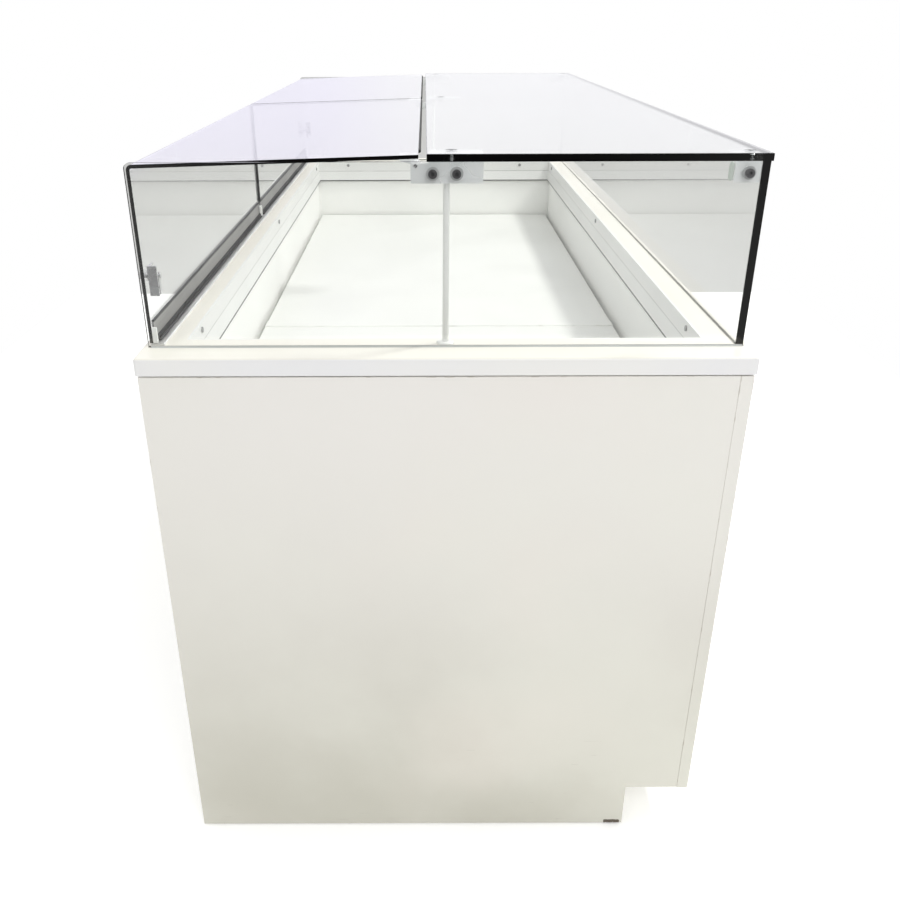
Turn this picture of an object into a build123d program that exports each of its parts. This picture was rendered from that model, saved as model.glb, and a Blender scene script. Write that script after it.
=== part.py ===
from build123d import *

import os
from math import atan, cos

# Open-well display chest freezer with a two-section glass canopy. Millimetres, +Z up.
# The origin is the middle of the footprint, on the floor. The long axis is Y, the near end is -Y.
# -X is the service side, with the lift-up bent-glass lids. +X is the customer side, with fixed glass.

os.makedirs("parts", exist_ok=True)

# ---------------------------------------------------------------- driving dimensions

# Cabinet
rim_length = 2040.0
rim_width = 880.0
rim_top = 900.0
rim_face = 26.0
rim_top_round = 5.0
rim_overhang = 3.0
shadow_gap = 2.5
panel_thickness = 19.0
panel_edge_break = 0.8
floor_gap = 3.0
kick_height = 90.0
kick_depth = 110.0

# Well
well_side_margin = 60.0
well_end_margin = 92.0
well_depth = 170.0
collar_thickness = 3.0
collar_height = 60.0
collar_crease = 29.0
collar_lean = 3.5
collar_screw_drop = 11.0
collar_screw_end_offset = 80.0
collar_screw_pitch = 283.0
sheet = 1.2
deck_rise = 18.0
deck_sheet = 1.5
deck_clearance = 1.5
deck_panel_short_length = 616.0
seam_strip_width = 38.0
seam_strip_thickness = 2.0
foam_floor = 56.0

# Glass canopy
glass_setback = 51.0
canopy_width = 860.0
canopy_top = 1156.0
end_glass_thickness = 6.0
end_glass_corner = 8.0
side_glass_thickness = 10.0
top_glass_thickness = 10.0
top_glass_left = -27.0
top_glass_overhang = 3.0
seal_thickness = 1.5
lid_glass_thickness = 5.0
lid_bend = 8.0
lid_top_left = 1152.0
lid_top_right = 1163.5
lid_right = -38.0
lid_end_gap = 6.0
lid_middle_gap = 6.0
lid_rest_width = 16.0
lid_rest_height = 3.0
lid_rest_gap = 0.5
rail_bottom = 907.0
rail_top = 936.0
rail_thickness = 2.5
rail_lip = 5.0

# Canopy hardware
pin_radius = 2.5
knuckle_radius = 6.0
hinge_x = -42.0
hinge_z = 1150.0
hinge_boss = 13.0
hinge_gap = 1.0
knuckle_length = 20.0
bracket_thickness = 3.0
glass_pad = 0.3
bracket_height = 28.0
bracket_step = 2.0
bracket_left = -48.5
bracket_right = 49.0
flange_left = -24.0
flange_length = 48.0
middle_flange_length = 44.0
screw_radius = 3.0
glass_hole_radius = 4.0
socket_head_radius = 6.0
socket_head_height = 5.0
washer_radius = 9.0
washer_thickness = 1.5
nut_radius = 5.5
nut_height = 4.5
end_screw_x = (-19.0, 13.0)
end_screw_z = 1141.0
top_screw_x = 7.0
corner_size = 35.0
post_radius = 4.5
post_x = 0.0
post_setback = 15.0
post_foot_radius = 13.0
post_foot_thickness = 3.0
latch_z = 996.0
latch_from_end = 34.0
latch_knob_radius = 9.5
latch_knob_height = 9.5
latch_dome_radius = 7.0
latch_shaft_radius = 4.0
latch_tongue_length = 22.0
latch_bracket_height = 42.0

# Machine space
frame_tube = 40.0
frame_tube_height = 30.0
frame_wall = 2.5
frame_bottom = 20.0
foot_radius = 20.0
foot_thickness = 6.0
foot_stem_radius = 5.0
fan_radius = 105.0
fan_tip_gap = 5.0
pipe_radius = 4.0

# Running and assembly clearances
slide_clearance = 0.3
pin_clearance = 0.05
hole_clearance = 0.2

# ---------------------------------------------------------------- derived levels

half_x = rim_width / 2
half_y = rim_length / 2
body_x = half_x - rim_overhang
body_y = half_y - rim_overhang
inner_x = body_x - panel_thickness
inner_y = body_y - panel_thickness
rim_bottom = rim_top - rim_face
panel_top = rim_bottom - shadow_gap
kick_x = body_x - kick_depth

well_x = half_x - well_side_margin
well_y = half_y - well_end_margin
ring_x = well_x + collar_thickness
ring_y = well_y + collar_thickness
deck_top = rim_top - well_depth
liner_floor = deck_top - deck_rise
deck_x = well_x - collar_lean - deck_clearance
deck_y = well_y - collar_lean - deck_clearance
deck_split = -deck_y + deck_panel_short_length
liner_x = ring_x + 1.0
liner_y = ring_y + 1.0
liner_bottom = liner_floor - sheet
skin_bottom = liner_bottom - foam_floor - sheet

canopy_x = canopy_width / 2
canopy_y = half_y - glass_setback
side_glass_inner = canopy_x - side_glass_thickness
end_glass_inner = canopy_y - end_glass_thickness
glass_bottom = rim_top + seal_thickness
top_glass_top = canopy_top + top_glass_thickness
top_glass_right = canopy_x + top_glass_overhang
plate_x = side_glass_inner - glass_pad
plate_y = end_glass_inner - glass_pad
plate_top = canopy_top - glass_pad
bracket_face = plate_y - bracket_thickness

lid_outer = -canopy_x
lid_inner = lid_outer + lid_glass_thickness
lid_far_end = end_glass_inner - lid_end_gap
lid_near_middle = lid_middle_gap / 2
lid_slope = (lid_top_right - lid_top_left) / (lid_right - lid_outer)
lid_bottom = rim_top + lid_rest_height + lid_rest_gap

frame_top = frame_bottom + frame_tube_height


def lid_top_z(x):
    """Height of the lid glass's upper face above the line x."""
    return lid_top_left + lid_slope * (x - lid_outer)


def lid_under_z(x):
    """Height of the lid glass's lower face above the line x."""
    return lid_top_z(x) - lid_glass_thickness / cos(atan(lid_slope))


def block(x, y, z, mode=Mode.ADD):
    """A box between two limits on each axis, joined to the part being made."""
    middle = ((x[0] + x[1]) / 2, (y[0] + y[1]) / 2, (z[0] + z[1]) / 2)
    with Locations(middle):
        Box(abs(x[1] - x[0]), abs(y[1] - y[0]), abs(z[1] - z[0]), mode=mode)


def rod(centre, axis, radius, length, mode=Mode.ADD):
    """A cylinder of the given length along +X, +Y or +Z, centred on a point."""
    turn = {"X": (0, 90, 0), "Y": (90, 0, 0), "Z": (0, 0, 0)}[axis]
    with Locations(Location(centre, turn)):
        Cylinder(radius, length, mode=mode)


# ---------------------------------------------------------------- cabinet panels

# Each end panel closes the cabinet from the service side to the customer panel's inner face,
# with the toe kick notched out of its lower customer corner.
end_planes = {"near": inner_y, "far": -body_y}
outer_face = {"near": 0, "far": -1}
for end, offset in end_planes.items():
    with BuildPart() as end_panel:
        with BuildSketch(Plane.XZ.offset(offset)):
            with BuildLine():
                Polyline(
                    (-body_x, floor_gap),
                    (kick_x, floor_gap),
                    (kick_x, kick_height),
                    (inner_x, kick_height),
                    (inner_x, panel_top),
                    (-body_x, panel_top),
                    close=True,
                )
            make_face()
        extrude(amount=panel_thickness)
        show_face = end_panel.faces().sort_by(Axis.Y)[outer_face[end]]
        chamfer(show_face.edges(), panel_edge_break)
    end_panel.part.label = f"end_panel_{end}"
    export_step(end_panel.part, f"parts/end_panel_{end}.step")

with BuildPart() as customer_panel:
    block((inner_x, body_x), (-body_y, body_y), (kick_height, panel_top))
    show_face = customer_panel.faces().sort_by(Axis.X)[-1]
    chamfer(show_face.edges(), panel_edge_break)
customer_panel.part.label = "customer_panel"
export_step(customer_panel.part, "parts/customer_panel.step")

# Openings in the service panel: the machine access and the recessed controls.
access_y = (-inner_y + 78.0, -inner_y + 678.0)
access_z = (110.0, 560.0)
control_y = (-180.0, -20.0)
control_z = (420.0, 500.0)
gland_y = -100.0
gland_z = 150.0
gland_radius = 10.0
with BuildPart() as service_panel:
    block((-body_x, -inner_x), (-inner_y, inner_y), (floor_gap, panel_top))
    block((-body_x, -inner_x), access_y, access_z, mode=Mode.SUBTRACT)
    block((-body_x, -inner_x), control_y, control_z, mode=Mode.SUBTRACT)
    gland_hole = ((-body_x - inner_x) / 2, gland_y, gland_z)
    rod(gland_hole, "X", gland_radius + hole_clearance, panel_thickness, mode=Mode.SUBTRACT)
service_panel.part.label = "service_panel"
export_step(service_panel.part, "parts/service_panel.step")

# The access panel is a steel tray that laps over the opening's edge and hooks into it.
access_lap = 15.0
access_sheet = 1.2
access_lip = 12.0
vent_y = (access_y[0] + 60.0, access_y[1] - 60.0)
vent_z = (access_z[0] + 40.0, access_z[0] + 310.0)
access_face = -body_x - access_sheet
with BuildPart() as access_panel:
    block(
        (access_face, -body_x),
        (access_y[0] - access_lap, access_y[1] + access_lap),
        (access_z[0] - access_lap, access_z[1] + access_lap),
    )
    block(
        (-body_x, -body_x + access_lip),
        (access_y[0] + slide_clearance, access_y[1] - slide_clearance),
        (access_z[0] + slide_clearance, access_z[1] - slide_clearance),
    )
    block(
        (-body_x, -body_x + access_lip),
        (access_y[0] + slide_clearance + sheet, access_y[1] - slide_clearance - sheet),
        (access_z[0] + slide_clearance + sheet, access_z[1] - slide_clearance - sheet),
        mode=Mode.SUBTRACT,
    )
    block((access_face, -body_x), vent_y, vent_z, mode=Mode.SUBTRACT)
access_panel.part.label = "access_panel"
export_step(access_panel.part, "parts/access_panel.step")

# The grille is a moulded frame with sloping blades, pushed into the access panel from outside.
grille_border = 8.0
grille_face = 1.3
grille_depth = 10.0
blade_pitch = 16.0
blade_thickness = 2.0
blade_count = int((vent_z[1] - vent_z[0] - 2 * grille_border) // blade_pitch)
with BuildPart() as vent_grille:
    block(
        (access_face - grille_face, access_face),
        (vent_y[0] - grille_border, vent_y[1] + grille_border),
        (vent_z[0] - grille_border, vent_z[1] + grille_border),
    )
    block(
        (access_face, access_face + grille_depth),
        (vent_y[0] + slide_clearance, vent_y[1] - slide_clearance),
        (vent_z[0] + slide_clearance, vent_z[1] - slide_clearance),
    )
    block(
        (access_face - grille_face, access_face + grille_depth),
        (vent_y[0] + grille_border, vent_y[1] - grille_border),
        (vent_z[0] + grille_border, vent_z[1] - grille_border),
        mode=Mode.SUBTRACT,
    )
    blade_x = access_face + (grille_depth - grille_face) / 2
    blade_length = vent_y[1] - vent_y[0] - 2 * grille_border
    for step in range(blade_count):
        blade_z = vent_z[0] + grille_border + blade_pitch * (step + 0.5)
        with Locations(Location((blade_x, sum(vent_y) / 2, blade_z), (0, 35, 0))):
            Box(grille_depth, blade_length + 1.0, blade_thickness)
    block((vent_y[0], access_face - grille_face), vent_y, vent_z, mode=Mode.SUBTRACT)
vent_grille.part.label = "vent_grille"
export_step(vent_grille.part, "parts/vent_grille.step")

# ---------------------------------------------------------------- drain route and toe kick

drain_radius = 12.0
drain_bore = 9.5
drain_x = 240.0
drain_from_split = 157.0
drain_y = deck_split + drain_from_split
drain_z = 66.0
drain_bend = 30.0
drain_reach = 23.0
drain_collar = 2.0
drain_spigot_radius = 11.0
drain_flange_radius = 20.0

# The kick board stands under the set-back, and the soffit board closes the space above it.
with BuildPart() as toe_kick_boards:
    block(
        (kick_x - panel_thickness, kick_x),
        (-inner_y, inner_y),
        (floor_gap, kick_height),
    )
    rod(
        (kick_x - panel_thickness / 2, drain_y, drain_z),
        "X",
        drain_radius + hole_clearance,
        panel_thickness,
        mode=Mode.SUBTRACT,
    )
    block(
        (kick_x, inner_x),
        (-inner_y, inner_y),
        (kick_height, kick_height + panel_thickness),
    )
toe_kick_boards.part.label = "toe_kick_boards"
export_step(toe_kick_boards.part, "parts/toe_kick_boards.step")

# ---------------------------------------------------------------- base frame and feet

rail_x = (-inner_x + frame_tube / 2 + 5.0, kick_x - panel_thickness - frame_tube / 2 - 3.0)
cross_y = (-inner_y + frame_tube / 2, -inner_y * 0.34, inner_y * 0.34, inner_y - frame_tube / 2)
foot_y = (cross_y[0], 0.0, cross_y[3])
frame_z = frame_bottom + frame_tube_height / 2


def tube_outline():
    """Section of the frame's rectangular tube, hollow."""
    Rectangle(frame_tube, frame_tube_height)
    Rectangle(
        frame_tube - 2 * frame_wall,
        frame_tube_height - 2 * frame_wall,
        mode=Mode.SUBTRACT,
    )


post_side = frame_tube - 10.0
with BuildPart() as base_frame:
    for x in rail_x:
        with BuildSketch(Plane.XZ.offset(inner_y)):
            with Locations((x, frame_z)):
                tube_outline()
        extrude(amount=-2 * inner_y)
    cross_length = rail_x[1] - rail_x[0] - frame_tube
    for y in cross_y:
        with BuildSketch(Plane.YZ.offset(rail_x[0] + frame_tube / 2)):
            with Locations((y, frame_z)):
                tube_outline()
        extrude(amount=cross_length)
    for x in rail_x:
        for y in foot_y:
            with BuildSketch(Plane.XY.offset(frame_top)):
                with Locations((x, y)):
                    Rectangle(post_side, post_side)
                    Rectangle(
                        post_side - 2 * frame_wall,
                        post_side - 2 * frame_wall,
                        mode=Mode.SUBTRACT,
                    )
            extrude(amount=skin_bottom - frame_top)
base_frame.part.label = "base_frame"
export_step(base_frame.part, "parts/base_frame.step")

lock_nut_height = 6.0
lock_nut_radius = 2 * foot_stem_radius - 0.5
foot_shoulder = 2.0
with BuildPart() as levelling_feet:
    for x in rail_x:
        for y in foot_y:
            with BuildSketch(Plane.XZ.offset(-y)):
                with BuildLine():
                    Polyline(
                        (x, 0),
                        (x + foot_radius, 0),
                        (x + foot_radius, foot_thickness / 2),
                        (x + foot_stem_radius + foot_shoulder, foot_thickness),
                        (x + foot_stem_radius, foot_thickness),
                        (x + foot_stem_radius, frame_bottom),
                        (x, frame_bottom),
                        close=True,
                    )
                make_face()
            revolve(axis=Axis((x, y, 0), (0, 0, 1)))
            with BuildSketch(Plane.XY.offset(frame_bottom - lock_nut_height)):
                with Locations((x, y)):
                    RegularPolygon(lock_nut_radius, 6)
            extrude(amount=lock_nut_height)
levelling_feet.part.label = "levelling_feet"
export_step(levelling_feet.part, "parts/levelling_feet.step")

# ---------------------------------------------------------------- worktop and well

rim_edge_round = rim_top_round - 1.0
rim_bottom_round = 1.5
with BuildPart() as worktop_frame:
    block((-half_x, half_x), (-half_y, half_y), (rim_bottom, rim_top))
    block((-ring_x, ring_x), (-ring_y, ring_y), (rim_bottom, rim_top), mode=Mode.SUBTRACT)
    upright = worktop_frame.edges().filter_by(Axis.Z).sort_by(SortBy.DISTANCE)[-4:]
    fillet(upright, rim_top_round)
    top_rim = worktop_frame.faces().sort_by(Axis.Z)[-1].outer_wire().edges()
    fillet(top_rim, rim_edge_round)
    bottom_rim = worktop_frame.faces().sort_by(Axis.Z)[0].outer_wire().edges()
    fillet(bottom_rim, rim_bottom_round)
    screw_z = rim_top - collar_screw_drop
    screw_depth = 12.0
    side_screw_y = (-well_y + collar_screw_end_offset, 0.0, well_y - collar_screw_end_offset)
    end_screw_places = (-collar_screw_pitch, 0.0, collar_screw_pitch)
    screw_shank = 1.9
    for y in side_screw_y:
        for side in (-1, 1):
            place = (side * (ring_x + screw_depth / 2), y, screw_z)
            rod(place, "X", screw_shank + hole_clearance, screw_depth, mode=Mode.SUBTRACT)
    for x in end_screw_places:
        for side in (-1, 1):
            place = (x, side * (ring_y + screw_depth / 2), screw_z)
            rod(place, "Y", screw_shank + hole_clearance, screw_depth, mode=Mode.SUBTRACT)
worktop_frame.part.label = "worktop_frame"
export_step(worktop_frame.part, "parts/worktop_frame.step")


collar_toe = (2.5, 2.0)
collar_mitre_deep = 20.0


def collar_outline(face, outward):
    """Collar section at a wall: face is the inner face's place, outward is the sign towards the rim."""
    back = face + outward * collar_thickness
    foot = face - outward * collar_lean
    bottom = rim_top - collar_height
    Polygon(
        (face, rim_top),
        (back, rim_top),
        (back, bottom + collar_toe[1]),
        (foot + outward * collar_toe[0], bottom),
        (foot, bottom),
        (face, rim_top - collar_crease),
        align=None,
    )


def collar_mitre(along_x, side):
    """Plan of one collar length, cut at 45 degrees at both ends."""
    deep = collar_mitre_deep
    if along_x:
        corners = [
            (-ring_x, side * ring_y),
            (ring_x, side * ring_y),
            (ring_x - deep, side * (ring_y - deep)),
            (deep - ring_x, side * (ring_y - deep)),
        ]
    else:
        corners = [
            (side * ring_x, -ring_y),
            (side * ring_x, ring_y),
            (side * (ring_x - deep), ring_y - deep),
            (side * (ring_x - deep), deep - ring_y),
        ]
    with BuildSketch(Plane.XY.offset(rim_top - collar_height)) as plan:
        Polygon(*corners, align=None)
    extrude(plan.sketch, amount=collar_height, mode=Mode.INTERSECT)


for name, side in (("service", -1), ("customer", 1)):
    with BuildPart() as collar:
        with BuildSketch(Plane.XZ.offset(ring_y)):
            collar_outline(side * well_x, side)
        extrude(amount=-2 * ring_y)
        collar_mitre(False, side)
        for y in side_screw_y:
            place = (side * (well_x + collar_thickness / 2), y, screw_z)
            rod(place, "X", screw_shank + hole_clearance, collar_thickness, mode=Mode.SUBTRACT)
    collar.part.label = f"collar_{name}"
    export_step(collar.part, f"parts/collar_{name}.step")

with BuildPart() as collar_ends:
    with BuildSketch(Plane.YZ.offset(-ring_x)):
        collar_outline(well_y, 1)
    extrude(amount=2 * ring_x)
    collar_mitre(True, 1)
    for x in end_screw_places:
        place = (x, well_y + collar_thickness / 2, screw_z)
        rod(place, "Y", screw_shank + hole_clearance, collar_thickness, mode=Mode.SUBTRACT)
    mirror(about=Plane.XZ)
collar_ends.part.label = "collar_ends"
export_step(collar_ends.part, "parts/collar_ends.step")

screw_head_radius = 4.5
screw_head_height = 2.0
screw_tip_gap = 1.0
with BuildPart() as collar_screws:
    shank_length = collar_thickness + screw_depth - screw_tip_gap
    for side in (-1, 1):
        for y in side_screw_y:
            head = (side * (well_x - screw_head_height / 2), y, screw_z)
            shank = (side * (well_x + shank_length / 2), y, screw_z)
            rod(head, "X", screw_head_radius, screw_head_height)
            rod(shank, "X", screw_shank, shank_length)
        for x in end_screw_places:
            head = (x, side * (well_y - screw_head_height / 2), screw_z)
            shank = (x, side * (well_y + shank_length / 2), screw_z)
            rod(head, "Y", screw_head_radius, screw_head_height)
            rod(shank, "Y", screw_shank, shank_length)
collar_screws.part.label = "collar_screws"
export_step(collar_screws.part, "parts/collar_screws.step")

with BuildPart() as well_liner:
    block(
        (-liner_x - sheet, liner_x + sheet),
        (-liner_y - sheet, liner_y + sheet),
        (liner_bottom, rim_bottom),
    )
    block((-liner_x, liner_x), (-liner_y, liner_y), (liner_floor, rim_bottom), mode=Mode.SUBTRACT)
    rod(
        (drain_x, drain_y, liner_floor),
        "Z",
        drain_radius + hole_clearance,
        4 * sheet,
        mode=Mode.SUBTRACT,
    )
well_liner.part.label = "well_liner"
export_step(well_liner.part, "parts/well_liner.step")

# Two lift-out deck panels, folded down at their edges, stand on the liner floor.
deck_half_gap = 1.0
deck_spans = {
    "deck_panel_short": (-deck_y, deck_split - deck_half_gap),
    "deck_panel_long": (deck_split + deck_half_gap, deck_y),
}
for name, span in deck_spans.items():
    with BuildPart() as deck_panel:
        block((-deck_x, deck_x), span, (liner_floor, deck_top))
        block(
            (-deck_x + deck_sheet, deck_x - deck_sheet),
            (span[0] + deck_sheet, span[1] - deck_sheet),
            (liner_floor, deck_top - deck_sheet),
            mode=Mode.SUBTRACT,
        )
        fold = deck_panel.faces().sort_by(Axis.Z)[-1].outer_wire().edges()
        fillet(fold, deck_sheet)
    deck_panel.part.label = name
    export_step(deck_panel.part, f"parts/{name}.step")

# The seam strip is fixed to the short panel and laps over the long one.
with BuildPart() as deck_seam_strip:
    block(
        (-deck_x, deck_x),
        (deck_split - seam_strip_width / 2, deck_split + seam_strip_width / 2),
        (deck_top, deck_top + seam_strip_thickness),
    )
    strip_top = deck_seam_strip.faces().sort_by(Axis.Z)[-1].edges()
    chamfer(strip_top, seam_strip_thickness / 2)
deck_seam_strip.part.label = "deck_seam_strip"
export_step(deck_seam_strip.part, "parts/deck_seam_strip.step")

line_places = ((60.0, -620.0), (100.0, -620.0))
with BuildPart() as tank_skin:
    block((-inner_x, inner_x), (-inner_y, inner_y), (skin_bottom, rim_bottom))
    block(
        (-inner_x + sheet, inner_x - sheet),
        (-inner_y + sheet, inner_y - sheet),
        (skin_bottom + sheet, rim_bottom),
        mode=Mode.SUBTRACT,
    )
    rod(
        (drain_x, drain_y, skin_bottom),
        "Z",
        drain_radius + hole_clearance,
        4 * sheet,
        mode=Mode.SUBTRACT,
    )
    for x, y in line_places:
        rod((x, y, skin_bottom), "Z", pipe_radius + hole_clearance, 4 * sheet, mode=Mode.SUBTRACT)
tank_skin.part.label = "tank_skin"
export_step(tank_skin.part, "parts/tank_skin.step")

with BuildPart() as foam_insulation:
    block(
        (-inner_x + sheet, inner_x - sheet),
        (-inner_y + sheet, inner_y - sheet),
        (skin_bottom + sheet, rim_bottom - sheet),
    )
    block(
        (-liner_x - sheet, liner_x + sheet),
        (-liner_y - sheet, liner_y + sheet),
        (liner_bottom, rim_bottom),
        mode=Mode.SUBTRACT,
    )
    rod(
        (drain_x, drain_y, liner_floor - foam_floor),
        "Z",
        drain_radius + hole_clearance,
        3 * foam_floor,
        mode=Mode.SUBTRACT,
    )
foam_insulation.part.label = "foam_insulation"
export_step(foam_insulation.part, "parts/foam_insulation.step")

# The evaporator is a tube wound round the liner inside the foam, four turns joined by risers.
coil_gap = 6.0
coil_x = liner_x + sheet + coil_gap + pipe_radius
coil_y = liner_y + sheet + coil_gap + pipe_radius
coil_bend = 15.0
coil_turns = 4
coil_pitch = 32.0
coil_bottom = liner_bottom + 20.0
with BuildPart() as evaporator_coil:
    for turn in range(coil_turns):
        level = coil_bottom + turn * coil_pitch
        with BuildLine() as turn_line:
            FilletPolyline(
                (0, -coil_y, level),
                (coil_x, -coil_y, level),
                (coil_x, coil_y, level),
                (-coil_x, coil_y, level),
                (-coil_x, -coil_y, level),
                (-coil_pitch, -coil_y, level),
                radius=coil_bend,
            )
        with BuildSketch(Plane(origin=(0, -coil_y, level), z_dir=(1, 0, 0))):
            Circle(pipe_radius)
        sweep(path=turn_line.wire())
    riser_height = (coil_turns - 1) * coil_pitch
    riser_overrun = 14.0
    for x in (0, -coil_pitch):
        rod((x, -coil_y, coil_bottom + riser_height / 2), "Z", pipe_radius, riser_height + riser_overrun)
evaporator_coil.part.label = "evaporator_coil"
export_step(evaporator_coil.part, "parts/evaporator_coil.step")

# The drain falls from the liner floor, turns under the tank and comes out through the kick board,
# where it steps down to a spigot for a hose.
with BuildPart() as drain_tube:
    spigot_length = drain_reach - drain_collar
    spigot_centre = (kick_x + drain_collar + spigot_length / 2, drain_y, drain_z)
    with BuildLine() as drain_line:
        FilletPolyline(
            (drain_x, drain_y, liner_floor),
            (drain_x, drain_y, drain_z),
            (kick_x + drain_collar, drain_y, drain_z),
            radius=drain_bend,
        )
    with BuildSketch(Plane.XY.offset(liner_floor)):
        with Locations((drain_x, drain_y)):
            Circle(drain_radius)
            Circle(drain_bore, mode=Mode.SUBTRACT)
    sweep(path=drain_line.wire())
    with BuildSketch(Plane.XY.offset(liner_floor)):
        with Locations((drain_x, drain_y)):
            Circle(drain_flange_radius)
            Circle(drain_bore, mode=Mode.SUBTRACT)
    extrude(amount=deck_sheet)
    rod(spigot_centre, "X", drain_spigot_radius, spigot_length)
    rod(spigot_centre, "X", drain_bore, spigot_length, mode=Mode.SUBTRACT)
drain_tube.part.label = "drain_tube"
export_step(drain_tube.part, "parts/drain_tube.step")

# ---------------------------------------------------------------- condensing unit

machine_sheet = 2.0
machine_overhang = 15.0
machine_y = (cross_y[0] + frame_tube / 2 + 3.0, -250.0)
machine_top = frame_top + machine_sheet
with BuildPart() as machine_deck:
    block((rail_x[0] - machine_overhang, rail_x[1] + machine_overhang), machine_y, (frame_top, machine_top))
machine_deck.part.label = "machine_deck"
export_step(machine_deck.part, "parts/machine_deck.step")

pot_x = 120.0
pot_y = -520.0
pot_radius = 78.0
pot_height = 180.0
pot_crown = 48.0
pot_heel = 20.0
pot_foot = (200.0, 150.0, 3.0)
grommet_radius = 12.0
grommet_height = 15.0
stub_spread = 18.0
stub_length = 50.0
stub_wall = 1.0
grommet_inset = 30.0
stub_top = machine_top + grommet_height + pot_foot[2] + pot_height + 16.0
pot_base = machine_top + grommet_height
with BuildPart() as compressor:
    pot_low = pot_base + pot_foot[2]
    rod((pot_x, pot_y, pot_low + pot_height / 2), "Z", pot_radius, pot_height)
    fillet(compressor.edges().group_by(Axis.Z)[-1], pot_crown)
    chamfer(compressor.edges().group_by(Axis.Z)[0], pot_heel)
    foot_middle = (pot_x, pot_y, pot_base + pot_foot[2] / 2)
    with Locations(foot_middle):
        Box(*pot_foot)
    for side in (-1, 1):
        stub = (pot_x, pot_y + side * stub_spread, stub_top - stub_length / 2)
        rod(stub, "Z", pipe_radius + stub_wall, stub_length)
compressor.part.label = "compressor"
export_step(compressor.part, "parts/compressor.step")

with BuildPart() as compressor_grommets:
    with BuildSketch(Plane.XY.offset(machine_top)):
        with Locations((pot_x, pot_y)):
            with GridLocations(pot_foot[0] - grommet_inset, pot_foot[1] - grommet_inset, 2, 2):
                Circle(grommet_radius)
    extrude(amount=grommet_height)
compressor_grommets.part.label = "compressor_grommets"
export_step(compressor_grommets.part, "parts/compressor_grommets.step")

# The condenser: six tube passes joined by U-bends, through a stack of fins.
core_x = (-400.0, -350.0)
core_y = sum(vent_y) / 2
core_width = 340.0
core_height = 300.0
core_bottom = machine_top
core_tube_x = sum(core_x) / 2
pass_count = 6
pass_pitch = 48.0
pass_radius = pipe_radius + 1.0
pass_reach = core_width / 2 + 15.0
pass_low = core_bottom + (core_height - pass_pitch * (pass_count - 1)) / 2
fin_count = 26
fin_thickness = 1.2
with BuildPart() as condenser:
    fin_pitch = core_width / (fin_count - 1)
    for step in range(fin_count):
        fin_y = core_y - core_width / 2 + fin_pitch * step
        block(
            core_x,
            (fin_y - fin_thickness / 2, fin_y + fin_thickness / 2),
            (core_bottom, core_bottom + core_height),
        )
    for step in range(pass_count):
        rod(
            (core_tube_x, core_y, pass_low + pass_pitch * step),
            "Y",
            pass_radius,
            2 * pass_reach,
        )
    for step in range(pass_count - 1):
        side = 1 if step % 2 else -1
        bend_z = pass_low + pass_pitch * (step + 0.5)
        with BuildSketch(Plane.XZ.offset(-(core_y + side * pass_reach))):
            with Locations((core_tube_x, bend_z - side * pass_pitch / 2)):
                Circle(pass_radius)
        bend_axis = Axis((core_tube_x, core_y + side * pass_reach, bend_z), (1, 0, 0))
        revolve(axis=bend_axis, revolution_arc=180)
condenser.part.label = "condenser"
export_step(condenser.part, "parts/condenser.step")

fan_z = core_bottom + core_height / 2
ring_depth = 28.0
shroud_sheet = 1.5
shroud_face = core_x[1] + shroud_sheet
fan_ring = fan_radius + fan_tip_gap
motor_radius = 36.0
motor_front = shroud_face + ring_depth + 8.0
motor_length = 60.0
motor_band = 4.0
motor_fit = 0.1
arm_centre = 75.0
arm_size = (120.0, 10.0)
arm_thickness = 3.0
strut_centre = 130.0
strut_size = (6.0, 8.0)
with BuildPart() as fan_shroud:
    with BuildSketch(Plane.YZ.offset(core_x[1])):
        with Locations((core_y, fan_z)):
            Rectangle(core_width, core_height)
            Circle(fan_ring, mode=Mode.SUBTRACT)
    extrude(amount=shroud_sheet)
    with BuildSketch(Plane.YZ.offset(shroud_face)):
        with Locations((core_y, fan_z)):
            Circle(fan_ring + shroud_sheet)
            Circle(fan_ring, mode=Mode.SUBTRACT)
    extrude(amount=ring_depth)
    mount_x = motor_front + motor_length / 2
    with BuildSketch(Plane.YZ.offset(mount_x)):
        with Locations((core_y, fan_z)):
            Circle(motor_radius + motor_band)
            with PolarLocations(0, 3, start_angle=90):
                with Locations((arm_centre, 0)):
                    Rectangle(*arm_size)
            Circle(motor_radius + motor_fit, mode=Mode.SUBTRACT)
    extrude(amount=arm_thickness)
    with BuildSketch(Plane.YZ.offset(shroud_face)):
        with Locations((core_y, fan_z)):
            with PolarLocations(0, 3, start_angle=90):
                with Locations((strut_centre, 0)):
                    Rectangle(*strut_size)
    extrude(amount=mount_x - shroud_face)
fan_shroud.part.label = "fan_shroud"
export_step(fan_shroud.part, "parts/fan_shroud.step")

spindle_radius = 4.0
spindle_length = 22.0
spindle_centre = motor_front - 9.0
motor_round = 5.0
with BuildPart() as fan_motor:
    rod((motor_front + motor_length / 2, core_y, fan_z), "X", motor_radius, motor_length)
    motor_end = fan_motor.faces().filter_by(Axis.X)
    fillet(motor_end.edges(), motor_round)
    rod((spindle_centre, core_y, fan_z), "X", spindle_radius, spindle_length)
fan_motor.part.label = "fan_motor"
export_step(fan_motor.part, "parts/fan_motor.step")

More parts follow.
